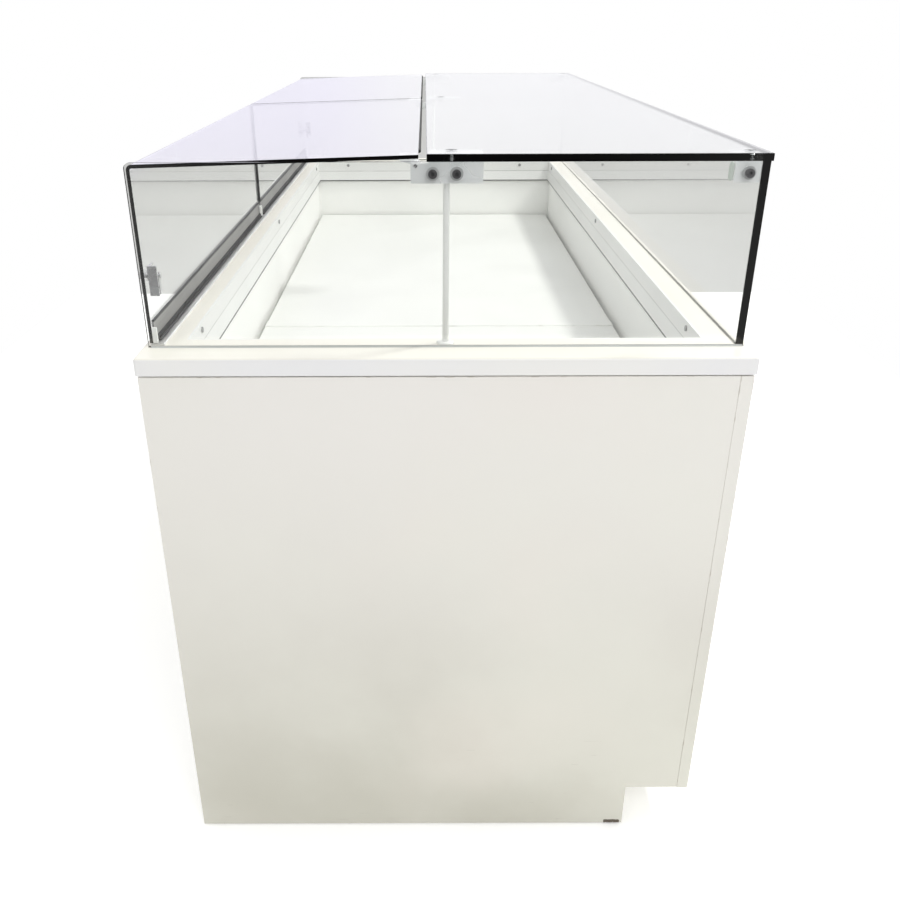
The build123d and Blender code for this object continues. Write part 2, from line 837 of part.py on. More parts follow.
hub_radius = 22.0
hub_length = 18.0
hub_back = motor_front - 3.0
blade_angle = 28.0
blade_twist = 30.0
blade_count = 5
blade_sheet = 1.8
blade_root_width = 26.0
blade_tip_width = 46.0
blade_root_sink = 3.0
with BuildPart() as fan_blade:
    rod((hub_back - hub_length / 2, core_y, fan_z), "X", hub_radius, hub_length)
    for step in range(blade_count):
        turn = 360.0 / blade_count * step
        spoke = Plane(
            origin=(hub_back - hub_length / 2, core_y, fan_z),
            x_dir=(1, 0, 0),
            z_dir=(0, 1, 0),
        ).rotated((turn, 0, 0))
        with BuildSketch(spoke.offset(hub_radius - blade_root_sink)):
            Rectangle(blade_root_width, blade_sheet, rotation=blade_angle + blade_twist)
        with BuildSketch(spoke.offset(fan_radius - 1.0)):
            Rectangle(blade_tip_width, blade_sheet, rotation=blade_angle)
        loft()
    rod(
        (hub_back - hub_length / 2, core_y, fan_z),
        "X",
        spindle_radius + pin_clearance,
        hub_length,
        mode=Mode.SUBTRACT,
    )
    tip_guard = Location((hub_back - hub_length / 2, core_y, fan_z), (0, 90, 0))
    with Locations(tip_guard):
        Cylinder(fan_radius, 2 * hub_length, mode=Mode.INTERSECT)
fan_blade.part.label = "fan_blade"
export_step(fan_blade.part, "parts/fan_blade.step")

# Pipes: discharge from compressor to condenser, liquid through the drier, suction from the tank.
pass_end = core_y + pass_reach
discharge_y = pass_end + 50.0
liquid_y = pass_end + 25.0
pass_high = pass_low + pass_pitch * (pass_count - 1)
drier_x = (-200.0, -80.0)
drier_radius = 12.0
with BuildPart() as filter_drier:
    rod((sum(drier_x) / 2, liquid_y, pass_low), "X", drier_radius, drier_x[1] - drier_x[0])
    drier_ends = filter_drier.faces().filter_by(Axis.X)
    fillet(drier_ends.edges(), drier_radius - pipe_radius - 2.0)
filter_drier.part.label = "filter_drier"
export_step(filter_drier.part, "parts/filter_drier.step")

line_reach = skin_bottom + foam_floor / 2
pipe_bend = 20.0
liquid_riser_x = -20.0
liquid_turn_z = 500.0
suction_turn_z = 420.0
discharge_route = (
    (pot_x, pot_y + stub_spread, stub_top),
    (pot_x, pot_y + stub_spread, pass_high),
    (pot_x, discharge_y, pass_high),
    (core_tube_x, discharge_y, pass_high),
    (core_tube_x, pass_end, pass_high),
)
condensate_route = (
    (core_tube_x, pass_end, pass_low),
    (core_tube_x, liquid_y, pass_low),
    (drier_x[0], liquid_y, pass_low),
)
liquid_route = (
    (drier_x[1], liquid_y, pass_low),
    (liquid_riser_x, liquid_y, pass_low),
    (liquid_riser_x, liquid_y, liquid_turn_z),
    (line_places[0][0], line_places[0][1], liquid_turn_z),
    (line_places[0][0], line_places[0][1], line_reach),
)
suction_route = (
    (pot_x, pot_y - stub_spread, stub_top),
    (pot_x, pot_y - stub_spread, suction_turn_z),
    (line_places[1][0], line_places[1][1], suction_turn_z),
    (line_places[1][0], line_places[1][1], line_reach),
)
with BuildPart() as refrigerant_lines:
    for route in (discharge_route, condensate_route, liquid_route, suction_route):
        with BuildLine() as pipe_line:
            FilletPolyline(*route, radius=pipe_bend)
        first_run = Vector(*route[1]) - Vector(*route[0])
        with BuildSketch(Plane(origin=route[0], z_dir=first_run.normalized())):
            Circle(pipe_radius)
        sweep(path=pipe_line.wire())
refrigerant_lines.part.label = "refrigerant_lines"
export_step(refrigerant_lines.part, "parts/refrigerant_lines.step")

# ---------------------------------------------------------------- controls and cord inlet

fascia_sheet = 2.0
fascia_face = -inner_x
control_depth = 66.0
fascia_margin = 10.0
control_inset = 5.0
knob_hole_depth = 20.0
knob_y = -130.0
switch_y = -60.0
control_mid_z = sum(control_z) / 2
knob_radius = 18.0
knob_height = 11.0
knob_gap = 1.5
knob_shaft = 3.0
knob_shaft_length = 18.0
knob_shaft_sink = 8.0
knob_round = 2.5
pointer_half = 2.0
switch_size = (14.0, 24.0)
switch_thickness = 6.0
switch_pocket = 9.0
switch_throw = 8.0
switch_gap = 1.0
switch_round = 1.5
with BuildPart() as control_box:
    block(
        (fascia_face, fascia_face + fascia_sheet),
        (control_y[0] - fascia_margin, control_y[1] + fascia_margin),
        (control_z[0] - fascia_margin, control_z[1] + fascia_margin),
    )
    block(
        (fascia_face + fascia_sheet, fascia_face + control_depth),
        (control_y[0] + control_inset, control_y[1] - control_inset),
        (control_z[0] + control_inset, control_z[1] - control_inset),
    )
    rod(
        (fascia_face + knob_hole_depth / 2, knob_y, control_mid_z),
        "X",
        knob_shaft + slide_clearance,
        knob_hole_depth,
        mode=Mode.SUBTRACT,
    )
    block(
        (fascia_face, fascia_face + switch_pocket),
        (switch_y - switch_size[0] / 2 - switch_gap, switch_y + switch_size[0] / 2 + switch_gap),
        (
            control_mid_z - switch_size[1] / 2 - switch_gap,
            control_mid_z + switch_size[1] / 2 + switch_gap,
        ),
        mode=Mode.SUBTRACT,
    )
control_box.part.label = "control_box"
export_step(control_box.part, "parts/control_box.step")

with BuildPart() as thermostat_knob:
    knob_base = fascia_face - knob_gap
    rod((knob_base - knob_height / 2, knob_y, control_mid_z), "X", knob_radius, knob_height)
    knob_front = thermostat_knob.faces().sort_by(Axis.X)[0]
    fillet(knob_front.edges(), knob_round)
    block(
        (knob_base - knob_height - pointer_half, knob_base - knob_height + pointer_half),
        (knob_y - pointer_half, knob_y + pointer_half),
        (control_mid_z, control_mid_z + knob_radius - pointer_half),
    )
    knob_shaft_middle = (knob_base + knob_shaft_sink, knob_y, control_mid_z)
    rod(knob_shaft_middle, "X", knob_shaft, knob_shaft_length)
thermostat_knob.part.label = "thermostat_knob"
export_step(thermostat_knob.part, "parts/thermostat_knob.step")

with BuildPart() as power_switch:
    rest_tilt = Location((fascia_face, switch_y, control_mid_z), (0, -switch_throw, 0))
    with Locations(rest_tilt):
        Box(switch_thickness, switch_size[0], switch_size[1])
    fillet(power_switch.edges().filter_by(Axis.Y), switch_round)
power_switch.part.label = "power_switch"
export_step(power_switch.part, "parts/power_switch.step")

gland_bore = 4.5
gland_flange = 15.0
gland_flange_thickness = 2.0
gland_inside = 8.0
gland_nut = 5.0
with BuildPart() as cord_gland:
    outer = -body_x - gland_flange_thickness
    inner = -inner_x + gland_inside
    rod(((outer + inner) / 2, gland_y, gland_z), "X", gland_radius, inner - outer)
    rod((-body_x - gland_flange_thickness / 2, gland_y, gland_z), "X", gland_flange, gland_flange_thickness)
    with BuildSketch(Plane.YZ.offset(-inner_x)):
        with Locations((gland_y, gland_z)):
            RegularPolygon(gland_flange, 6)
    extrude(amount=gland_nut)
    rod(((outer + inner) / 2, gland_y, gland_z), "X", gland_bore, inner - outer, mode=Mode.SUBTRACT)
cord_gland.part.label = "cord_gland"
export_step(cord_gland.part, "parts/cord_gland.step")

# ---------------------------------------------------------------- fixed glass

end_hole_x = (*end_screw_x, side_glass_inner - corner_size / 2)
side_screw_from_end = 29.0
side_screw_places = [side * (canopy_y - side_screw_from_end) for side in (-1, 1)]
glass_planes = {"near": end_glass_inner, "far": -canopy_y}
for end, offset in glass_planes.items():
    with BuildPart() as end_glass:
        with BuildSketch(Plane.XZ.offset(offset)) as pane:
            with BuildLine():
                Polyline(
                    (lid_outer, glass_bottom),
                    (side_glass_inner, glass_bottom),
                    (side_glass_inner, canopy_top),
                    (lid_outer, canopy_top),
                    close=True,
                )
            make_face()
            service_corner = pane.vertices().group_by(Axis.Y)[-1].sort_by(Axis.X)[0]
            fillet(service_corner, end_glass_corner)
            with Locations(*[(x, end_screw_z) for x in end_hole_x]):
                Circle(glass_hole_radius, mode=Mode.SUBTRACT)
        extrude(amount=end_glass_thickness)
    end_glass.part.label = f"end_glass_{end}"
    export_step(end_glass.part, f"parts/end_glass_{end}.step")

with BuildPart() as side_glass:
    block((side_glass_inner, canopy_x), (-canopy_y, canopy_y), (glass_bottom, canopy_top))
    for y in side_screw_places:
        place = (canopy_x - side_glass_thickness / 2, y, end_screw_z)
        rod(place, "X", glass_hole_radius, side_glass_thickness, mode=Mode.SUBTRACT)
side_glass.part.label = "side_glass"
export_step(side_glass.part, "parts/side_glass.step")

sink_radius = 8.0
sink_head_radius = 7.6
top_screw_from_end = 42.0
corner_screw_x = side_glass_inner - 10.0
top_glass_chamfer = 0.8
top_screws = [(top_screw_x, y) for y in (top_screw_from_end - canopy_y, 0.0, canopy_y - top_screw_from_end)]
top_screws += [(corner_screw_x, y) for y in side_screw_places]
with BuildPart() as top_glass:
    block((top_glass_left, top_glass_right), (-canopy_y, canopy_y), (canopy_top, top_glass_top))
    chamfer(top_glass.faces().sort_by(Axis.Z)[-1].edges(), top_glass_chamfer)
    for x, y in top_screws:
        with Locations((x, y, top_glass_top)):
            CounterSinkHole(radius=glass_hole_radius, counter_sink_radius=sink_radius, counter_sink_angle=90)
top_glass.part.label = "top_glass"
export_step(top_glass.part, "parts/top_glass.step")

# A soft strip beds the end and side glass on the worktop.
with BuildPart() as glass_seals:
    for side in (-1, 1):
        block(
            (lid_outer, side_glass_inner),
            (side * end_glass_inner, side * canopy_y),
            (rim_top, glass_bottom),
        )
    block((side_glass_inner, canopy_x), (-canopy_y, canopy_y), (rim_top, glass_bottom))
glass_seals.part.label = "glass_seals"
export_step(glass_seals.part, "parts/glass_seals.step")

# A low strip on the worktop takes the lids' bottom rails.
strip_edge_cut = 1.0
with BuildPart() as lid_rest_strip:
    block(
        (lid_outer + strip_edge_cut, lid_outer + lid_glass_thickness + lid_rest_width),
        (-lid_far_end, lid_far_end),
        (rim_top, rim_top + lid_rest_height),
    )
    strip_edge = lid_rest_strip.faces().sort_by(Axis.Z)[-1].edges().filter_by(Axis.Y)
    chamfer(strip_edge, strip_edge_cut)
lid_rest_strip.part.label = "lid_rest_strip"
export_step(lid_rest_strip.part, "parts/lid_rest_strip.step")

# ---------------------------------------------------------------- lids

# Near and far lids are alike: near spans from the near end glass to the middle of the canopy.
lid_spans = {"near": (-lid_far_end, -lid_near_middle), "far": (lid_near_middle, lid_far_end)}
latch_places = {
    "near": -end_glass_inner + latch_from_end,
    "far": end_glass_inner - latch_from_end,
}
latch_hole = latch_shaft_radius + slide_clearance
rail_lip_height = 2.0
rail_bead = 1.5
cap_height = 19.0
cap_round = 1.0
for end, span in lid_spans.items():
    latch_y = latch_places[end]
    with BuildPart() as bent_glass:
        with BuildSketch(Plane.XZ.offset(-span[1])) as lid_section:
            with BuildLine():
                Polyline(
                    (lid_outer, lid_bottom),
                    (lid_inner, lid_bottom),
                    (lid_inner, lid_under_z(lid_inner)),
                    (lid_right, lid_under_z(lid_right)),
                    (lid_right, lid_top_z(lid_right)),
                    (lid_outer, lid_top_z(lid_outer)),
                    close=True,
                )
            make_face()
            bend_outside = lid_section.vertices().sort_by_distance((lid_outer, lid_top_left))[0]
            fillet(bend_outside, lid_bend)
            bend_inside = lid_section.vertices().sort_by_distance((lid_inner, lid_under_z(lid_inner)))[0]
            fillet(bend_inside, lid_bend - lid_glass_thickness)
        extrude(amount=span[1] - span[0])
        rod(
            ((lid_outer + lid_inner) / 2, latch_y, latch_z),
            "X",
            latch_hole,
            lid_glass_thickness,
            mode=Mode.SUBTRACT,
        )
    bent_glass.part.label = f"bent_glass_{end}"
    export_step(bent_glass.part, f"parts/bent_glass_{end}.step")

    with BuildPart() as lid_rail:
        with BuildSketch(Plane.XZ.offset(-span[1] + rail_lip)):
            with BuildLine():
                Polyline(
                    (lid_inner, rail_bottom),
                    (lid_inner + rail_lip, rail_bottom),
                    (lid_inner + rail_lip, rail_bottom + rail_lip_height),
                    (lid_inner + rail_thickness, rail_bottom + 2 * rail_lip_height),
                    (lid_inner + rail_thickness, rail_top - rail_lip_height),
                    (lid_inner + rail_thickness + rail_bead, rail_top - rail_lip_height),
                    (lid_inner + rail_thickness + rail_bead, rail_top),
                    (lid_inner, rail_top),
                    close=True,
                )
            make_face()
        extrude(amount=span[1] - span[0] - 2 * rail_lip)
    lid_rail.part.label = f"lid_rail_{end}"
    export_step(lid_rail.part, f"parts/lid_rail_{end}.step")

    with BuildPart() as rail_caps:
        for cap_y in ((span[0], span[0] + rail_lip), (span[1] - rail_lip, span[1])):
            block(
                (lid_inner, lid_inner + rail_lip + rail_bead),
                cap_y,
                (lid_bottom, rail_bottom + cap_height),
            )
        fillet(rail_caps.edges().filter_by(Axis.Y), cap_round)
    rail_caps.part.label = f"rail_caps_{end}"
    export_step(rail_caps.part, f"parts/rail_caps_{end}.step")

# Each lid hangs from two knuckles clamped under its glass, one by the end bracket, one by the middle.
end_knuckle = bracket_face - hinge_boss - hinge_gap
middle_knuckle = bracket_thickness / 2 + hinge_boss - bracket_thickness + hinge_gap
pad_left = hinge_x - 22.0
pad_right = lid_right - 1.0
pad_thickness = 3.0
for end, side in (("near", -1), ("far", 1)):
    with BuildPart() as lid_knuckles:
        spans = (
            (end_knuckle - knuckle_length, end_knuckle),
            (middle_knuckle, middle_knuckle + knuckle_length),
        )
        for low, high in spans:
            start = min(side * low, side * high)
            with BuildSketch(Plane.XZ.offset(-start - knuckle_length)):
                with BuildLine():
                    Polyline(
                        (pad_left, lid_under_z(pad_left) - pad_thickness),
                        (pad_left, lid_under_z(pad_left)),
                        (pad_right, lid_under_z(pad_right)),
                        (pad_right, hinge_z),
                        (hinge_x - knuckle_radius, hinge_z),
                        close=True,
                    )
                make_face()
                with Locations((hinge_x, hinge_z)):
                    Circle(knuckle_radius)
                    Circle(pin_radius + pin_clearance, mode=Mode.SUBTRACT)
            extrude(amount=knuckle_length)
    lid_knuckles.part.label = f"lid_knuckles_{end}"
    export_step(lid_knuckles.part, f"parts/lid_knuckles_{end}.step")

# ---------------------------------------------------------------- hinge brackets and pins

screw_clear = screw_radius + hole_clearance
bracket_bottom = plate_top - bracket_height
with BuildPart() as hinge_brackets_end:
    block((bracket_left, bracket_right), (bracket_face, plate_y), (bracket_bottom, plate_top))
    block(
        (bracket_left, flange_left),
        (bracket_face, plate_y),
        (plate_top - bracket_step, plate_top),
        mode=Mode.SUBTRACT,
    )
    block(
        (flange_left, bracket_right),
        (plate_y - flange_length, bracket_face),
        (plate_top - bracket_thickness, plate_top),
    )
    boss_middle = bracket_face - hinge_boss / 2
    rod((hinge_x, boss_middle, hinge_z), "Y", knuckle_radius, hinge_boss)
    bore_middle = plate_y - (hinge_boss + bracket_thickness) / 2
    rod(
        (hinge_x, bore_middle, hinge_z),
        "Y",
        pin_radius + pin_clearance,
        hinge_boss + bracket_thickness,
        mode=Mode.SUBTRACT,
    )
    for x in end_screw_x:
        place = (x, plate_y - bracket_thickness / 2, end_screw_z)
        rod(place, "Y", screw_clear, bracket_thickness, mode=Mode.SUBTRACT)
    flange_hole = (top_screw_x, canopy_y - top_screw_from_end, plate_top - bracket_thickness / 2)
    rod(flange_hole, "Z", screw_clear, bracket_thickness, mode=Mode.SUBTRACT)
    mirror(about=Plane.XZ)
hinge_brackets_end.part.label = "hinge_brackets_end"
export_step(hinge_brackets_end.part, "parts/hinge_brackets_end.step")

middle_web_right = -6.0
middle_web_drop = 10.0
middle_boss = hinge_boss - bracket_thickness
with BuildPart() as hinge_bracket_middle:
    block(
        (bracket_left, middle_web_right),
        (-bracket_thickness / 2, bracket_thickness / 2),
        (hinge_z - middle_web_drop, plate_top),
    )
    block(
        (bracket_left, flange_left),
        (-bracket_thickness / 2, bracket_thickness / 2),
        (plate_top - bracket_step, plate_top),
        mode=Mode.SUBTRACT,
    )
    block(
        (flange_left, bracket_right),
        (-middle_flange_length / 2, middle_flange_length / 2),
        (plate_top - bracket_thickness, plate_top),
    )
    rod((hinge_x, 0, hinge_z), "Y", knuckle_radius, bracket_thickness + 2 * middle_boss)
    rod(
        (hinge_x, 0, hinge_z),
        "Y",
        pin_radius + pin_clearance,
        bracket_thickness + 2 * middle_boss,
        mode=Mode.SUBTRACT,
    )
    middle_hole = (top_screw_x, 0, plate_top - bracket_thickness / 2)
    rod(middle_hole, "Z", screw_clear, bracket_thickness, mode=Mode.SUBTRACT)
hinge_bracket_middle.part.label = "hinge_bracket_middle"
export_step(hinge_bracket_middle.part, "parts/hinge_bracket_middle.step")

pin_overrun = 2.0
with BuildPart() as hinge_pins:
    pin_length = hinge_boss + hinge_gap + knuckle_length + pin_overrun
    for side in (-1, 1):
        middle = side * (bracket_face - pin_length / 2)
        rod((hinge_x, middle, hinge_z), "Y", pin_radius, pin_length)
    middle_pin = 2 * (middle_knuckle + knuckle_length + pin_overrun)
    rod((hinge_x, 0, hinge_z), "Y", pin_radius, middle_pin)
hinge_pins.part.label = "hinge_pins"
export_step(hinge_pins.part, "parts/hinge_pins.step")

# ---------------------------------------------------------------- posts and corner connectors

post_y = end_glass_inner - post_setback
post_foot_cut = 1.5
with BuildPart() as support_posts:
    post_top = plate_top - bracket_thickness
    for side in (-1, 1):
        rod(
            (post_x, side * post_y, (rim_top + post_top) / 2),
            "Z",
            post_radius,
            post_top - rim_top,
        )
        foot = (post_x, side * post_y, rim_top + post_foot_thickness / 2)
        rod(foot, "Z", post_foot_radius, post_foot_thickness)
    foot_rims = support_posts.edges().filter_by(GeomType.CIRCLE).group_by(SortBy.LENGTH)[-1]
    top_foot_rims = foot_rims.group_by(Axis.Z)[-1]
    chamfer(top_foot_rims, post_foot_cut)
support_posts.part.label = "support_posts"
export_step(support_posts.part, "parts/support_posts.step")

corner_left = plate_x - corner_size
corner_inner_y = plate_y - corner_size - bracket_thickness
with BuildPart() as corner_connectors:
    block((corner_left, plate_x), (bracket_face, plate_y), (bracket_bottom, plate_top))
    block(
        (plate_x - bracket_thickness, plate_x),
        (corner_inner_y, bracket_face),
        (bracket_bottom, plate_top),
    )
    block(
        (corner_left, plate_x - bracket_thickness),
        (corner_inner_y, bracket_face),
        (plate_top - bracket_thickness, plate_top),
    )
    end_hole = (end_hole_x[-1], plate_y - bracket_thickness / 2, end_screw_z)
    rod(end_hole, "Y", screw_clear, bracket_thickness, mode=Mode.SUBTRACT)
    side_hole = (plate_x - bracket_thickness / 2, side_screw_places[1], end_screw_z)
    rod(side_hole, "X", screw_clear, bracket_thickness, mode=Mode.SUBTRACT)
    top_hole = (corner_screw_x, side_screw_places[1], plate_top - bracket_thickness / 2)
    rod(top_hole, "Z", screw_clear, bracket_thickness, mode=Mode.SUBTRACT)
    mirror(about=Plane.XZ)
corner_connectors.part.label = "corner_connectors"
export_step(corner_connectors.part, "parts/corner_connectors.step")

# ---------------------------------------------------------------- canopy fasteners

hex_socket = 2.9
hex_depth = 3.0


def socket_screw(outward, start, grip):
    """Socket-head screw: start is the washer's seat on the glass, grip the length to the nut's end."""
    seat = Plane(origin=start, z_dir=outward)
    with BuildSketch(seat) as washer:
        Circle(washer_radius)
        Circle(screw_radius, mode=Mode.SUBTRACT)
    extrude(washer.sketch, amount=washer_thickness)
    with BuildSketch(seat.offset(washer_thickness)) as head:
        Circle(socket_head_radius)
    extrude(head.sketch, amount=socket_head_height)
    with BuildSketch(seat.offset(washer_thickness + socket_head_height)) as socket:
        RegularPolygon(hex_socket, 6)
    extrude(socket.sketch, amount=-hex_depth, mode=Mode.SUBTRACT)
    with BuildSketch(seat.offset(-grip)) as shank:
        Circle(screw_radius)
    extrude(shank.sketch, amount=grip + washer_thickness)
    with BuildSketch(seat.offset(-grip)) as nut:
        RegularPolygon(nut_radius, 6)
    extrude(nut.sketch, amount=nut_height)


end_grip = end_glass_thickness + glass_pad + bracket_thickness + nut_height
side_grip = side_glass_thickness + glass_pad + bracket_thickness + nut_height
with BuildPart() as socket_screws:
    for side in (-1, 1):
        for x in end_hole_x:
            socket_screw((0, side, 0), (x, side * canopy_y, end_screw_z), end_grip)
    for y in side_screw_places:
        socket_screw((1, 0, 0), (canopy_x, y, end_screw_z), side_grip)
socket_screws.part.label = "socket_screws"
export_step(socket_screws.part, "parts/socket_screws.step")

sink_drop = 0.3
with BuildPart() as countersunk_screws:
    for x, y in top_screws:
        head_top = top_glass_top - sink_drop
        head_bottom = head_top - (sink_head_radius - screw_radius)
        screw_end = plate_top - bracket_thickness - nut_height
        with BuildSketch(Plane.XZ.offset(-y)):
            with BuildLine():
                Polyline(
                    (x, head_top),
                    (x + sink_head_radius, head_top),
                    (x + screw_radius, head_bottom),
                    (x + screw_radius, plate_top - bracket_thickness),
                    (x + nut_radius, plate_top - bracket_thickness),
                    (x + nut_radius, screw_end),
                    (x, screw_end),
                    close=True,
                )
            make_face()
        revolve(axis=Axis((x, y, 0), (0, 0, 1)))
        with BuildSketch(Plane.XY.offset(head_top)):
            with Locations((x, y)):
                RegularPolygon(hex_socket, 6)
        extrude(amount=-hex_depth, mode=Mode.SUBTRACT)
countersunk_screws.part.label = "countersunk_screws"
export_step(countersunk_screws.part, "parts/countersunk_screws.step")

# ---------------------------------------------------------------- lid latches

latch_gap = 7.0
latch_plate = 13.0
latch_sheet = 3.0
latch_screw_pitch = 15.0
latch_screw_radius = 3.5
latch_screw_inset = 5.0
latch_screw_head = 2.0
latch_leg_gap = 8.0
leg_face = lid_inner + latch_gap
leg_reach = latch_from_end - latch_shaft_radius - latch_leg_gap
with BuildPart() as latch_brackets:
    latch_low = latch_z - latch_bracket_height / 2
    latch_high = latch_z + latch_bracket_height / 2
    block(
        (leg_face, leg_face + latch_plate),
        (plate_y - latch_sheet, plate_y),
        (latch_low, latch_high),
    )
    block(
        (leg_face, leg_face + latch_sheet),
        (plate_y - leg_reach, plate_y - latch_sheet),
        (latch_low, latch_high),
    )
    for side in (-1, 1):
        place = (
            leg_face + latch_plate - latch_screw_inset,
            plate_y - latch_sheet - latch_screw_head / 2,
            latch_z + side * latch_screw_pitch / 2,
        )
        rod(place, "Y", latch_screw_radius, latch_screw_head)
    mirror(about=Plane.XZ)
latch_brackets.part.label = "latch_brackets"
export_step(latch_brackets.part, "parts/latch_brackets.step")

# A domed knob outside the glass turns a tongue that goes behind the bracket's leg.
tongue_back = leg_face + latch_sheet + 1.0
tongue_thickness = 2.5
tongue_width = 10.0
washer_gap = 0.2
shaft_overrun = 2.0
inner_washer = 2.0
inner_washer_radius = latch_shaft_radius + 3.5
for end, latch_y in latch_places.items():
    with BuildPart() as latch_knob:
        base = lid_outer - washer_gap
        knob_middle = (base - latch_knob_height / 2, latch_y, latch_z)
        rod(knob_middle, "X", latch_knob_radius, latch_knob_height)
        dome = latch_knob.faces().sort_by(Axis.X)[0]
        fillet(dome.edges(), latch_dome_radius)
        shaft_end = tongue_back + tongue_thickness + shaft_overrun
        rod(((base + shaft_end) / 2, latch_y, latch_z), "X", latch_shaft_radius, shaft_end - base)
        with BuildSketch(Plane.YZ.offset(tongue_back)):
            with Locations((latch_y, latch_z - latch_tongue_length / 2)):
                SlotCenterToCenter(latch_tongue_length, tongue_width, rotation=90)
        extrude(amount=tongue_thickness)
        washer_middle = (lid_inner + washer_gap + inner_washer / 2, latch_y, latch_z)
        rod(washer_middle, "X", inner_washer_radius, inner_washer)
    latch_knob.part.label = f"latch_knob_{end}"
    export_step(latch_knob.part, f"parts/latch_knob_{end}.step")
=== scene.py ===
# %% [markdown]
# # Finishing a chest freezer with a glass canopy
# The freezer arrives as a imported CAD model: every panel, pane, hinge and screw is already in its
# right place, in metres. This notebook gives each piece its finish, adds the thin trims that are
# easier to sweep than to machine, and sets up a plain studio around it.
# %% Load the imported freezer
import math

import bpy
import numpy as np
from mathutils import Matrix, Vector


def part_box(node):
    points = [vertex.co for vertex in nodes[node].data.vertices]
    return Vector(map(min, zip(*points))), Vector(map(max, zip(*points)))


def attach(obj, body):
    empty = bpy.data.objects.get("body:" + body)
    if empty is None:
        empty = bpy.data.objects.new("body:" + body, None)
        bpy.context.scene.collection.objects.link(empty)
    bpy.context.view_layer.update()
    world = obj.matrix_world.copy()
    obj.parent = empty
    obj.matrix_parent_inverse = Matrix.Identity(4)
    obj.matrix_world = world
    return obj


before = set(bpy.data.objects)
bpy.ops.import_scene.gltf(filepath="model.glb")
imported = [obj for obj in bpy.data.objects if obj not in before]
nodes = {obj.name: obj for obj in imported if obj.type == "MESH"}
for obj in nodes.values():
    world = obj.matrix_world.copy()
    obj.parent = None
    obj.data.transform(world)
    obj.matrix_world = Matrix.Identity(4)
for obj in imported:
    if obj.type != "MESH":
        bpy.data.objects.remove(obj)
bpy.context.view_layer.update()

# %% [markdown]
# ## The studio
# A white fitting needs two soft lamps, one overhead and one in front, and a bright room round it.
# A sky of one flat colour would leave the glass with nothing to mirror, so the sky here is a bright
# ceiling over slightly darker walls, with one dark doorway straight in front for the ground glass
# edges to mirror. The lens sees plain white instead of the sky, so the backdrop stays clean.
# %% Camera
lens = bpy.data.cameras.new("shop camera")
lens.lens = 36.71
lens.sensor_width = 36.0
lens.shift_x = 0.0267
lens.shift_y = 0.0213
lens.clip_end = 200.0
camera = bpy.data.objects.new("shop camera", lens)
bpy.context.scene.collection.objects.link(camera)
tilt_down = math.radians(26.22)
camera_roll = math.radians(-0.17)
camera.matrix_world = (
    Matrix.Translation((-0.029, -2.239, 1.328))
    @ Matrix.Rotation(math.pi / 2 - tilt_down, 4, "X")
    @ Matrix.Rotation(camera_roll, 4, "Z")
)
bpy.context.scene.camera = camera
bpy.context.scene.view_settings.view_transform = "Standard"
print("camera at", tuple(round(v, 3) for v in camera.location))


# %% [markdown]
# A node tree is easier to read as one line for each node. `put` adds a node, sets its options, and
# either links each input or gives it a plain value.
# %% Helpers for node trees
def put(tree, kind, inputs=None, **options):
    """Adds a node to a tree. An input's value may be another node's output or a plain value."""
    node = tree.nodes.new(kind)
    for option, value in options.items():
        setattr(node, option, value)
    for key, value in (inputs or {}).items():
        if isinstance(value, bpy.types.NodeSocket):
            tree.links.new(value, node.inputs[key])
        else:
            node.inputs[key].default_value = value
    return node


def sum_of(tree, operation, *terms):
    """One Math node on its terms, which are outputs or numbers."""
    inputs = dict(enumerate(terms))
    return put(tree, "ShaderNodeMath", inputs, operation=operation).outputs[0]


def ease(tree, value, low, high):
    """A smooth step from 0 to 1 as value goes from low to high."""
    inputs = {"Value": value, "From Min": low, "From Max": high}
    return put(tree, "ShaderNodeMapRange", inputs, interpolation_type="SMOOTHSTEP").outputs[0]


def blend_colour(tree, share, first, second):
    """Goes from the first colour to the second as share goes from 0 to 1."""
    mixer = put(tree, "ShaderNodeMix", {0: share}, data_type="RGBA")
    for socket, colour in ((mixer.inputs[6], first), (mixer.inputs[7], second)):
        if isinstance(colour, bpy.types.NodeSocket):
            tree.links.new(colour, socket)
        else:
            socket.default_value = (*colour, 1.0)
    return mixer.outputs[2]


# %% The room's light
room = bpy.data.worlds.new("room light")
room.use_nodes = True
bpy.context.scene.world = room
sky_tree = room.node_tree
sky_tree.nodes.clear()
direction = put(sky_tree, "ShaderNodeTexCoord").outputs["Generated"]
facing = put(sky_tree, "ShaderNodeSeparateXYZ", {0: direction})
ceiling_share = ease(sky_tree, facing.outputs["Z"], 0.05, 0.7)
back_share = ease(sky_tree, facing.outputs["Y"], 0.35, 0.95)
left_share = ease(sky_tree, facing.outputs["X"], 0.0, -0.12)
front_share = ease(sky_tree, facing.outputs["Y"], -0.90, -0.985)
above_share = ease(sky_tree, facing.outputs["Z"], -0.03, 0.02)
WALL_LIGHT = (0.60, 0.60, 0.59)
CEILING_LIGHT = (0.98, 0.98, 0.97)
BACK_LIGHT = (1.06, 1.06, 1.09)
BACK_LEFT_LIGHT = (1.00, 0.98, 1.10)
DOORWAY_LIGHT = (0.07, 0.07, 0.07)
back_light = blend_colour(sky_tree, left_share, BACK_LIGHT, BACK_LEFT_LIGHT)
back_high = sum_of(sky_tree, "MULTIPLY", back_share, above_share)
wall_light = blend_colour(sky_tree, back_high, WALL_LIGHT, back_light)
wall_light = blend_colour(sky_tree, front_share, wall_light, DOORWAY_LIGHT)
sky_light = blend_colour(sky_tree, ceiling_share, wall_light, CEILING_LIGHT)
lit = put(sky_tree, "ShaderNodeBackground", {"Color": sky_light})
seen = put(sky_tree, "ShaderNodeBackground", {"Color": (1, 1, 1, 1), "Strength": 1.0})
lens_ray = put(sky_tree, "ShaderNodeLightPath").outputs["Is Camera Ray"]
chosen = put(sky_tree, "ShaderNodeMixShader", {0: lens_ray, 1: lit.outputs[0], 2: seen.outputs[0]})
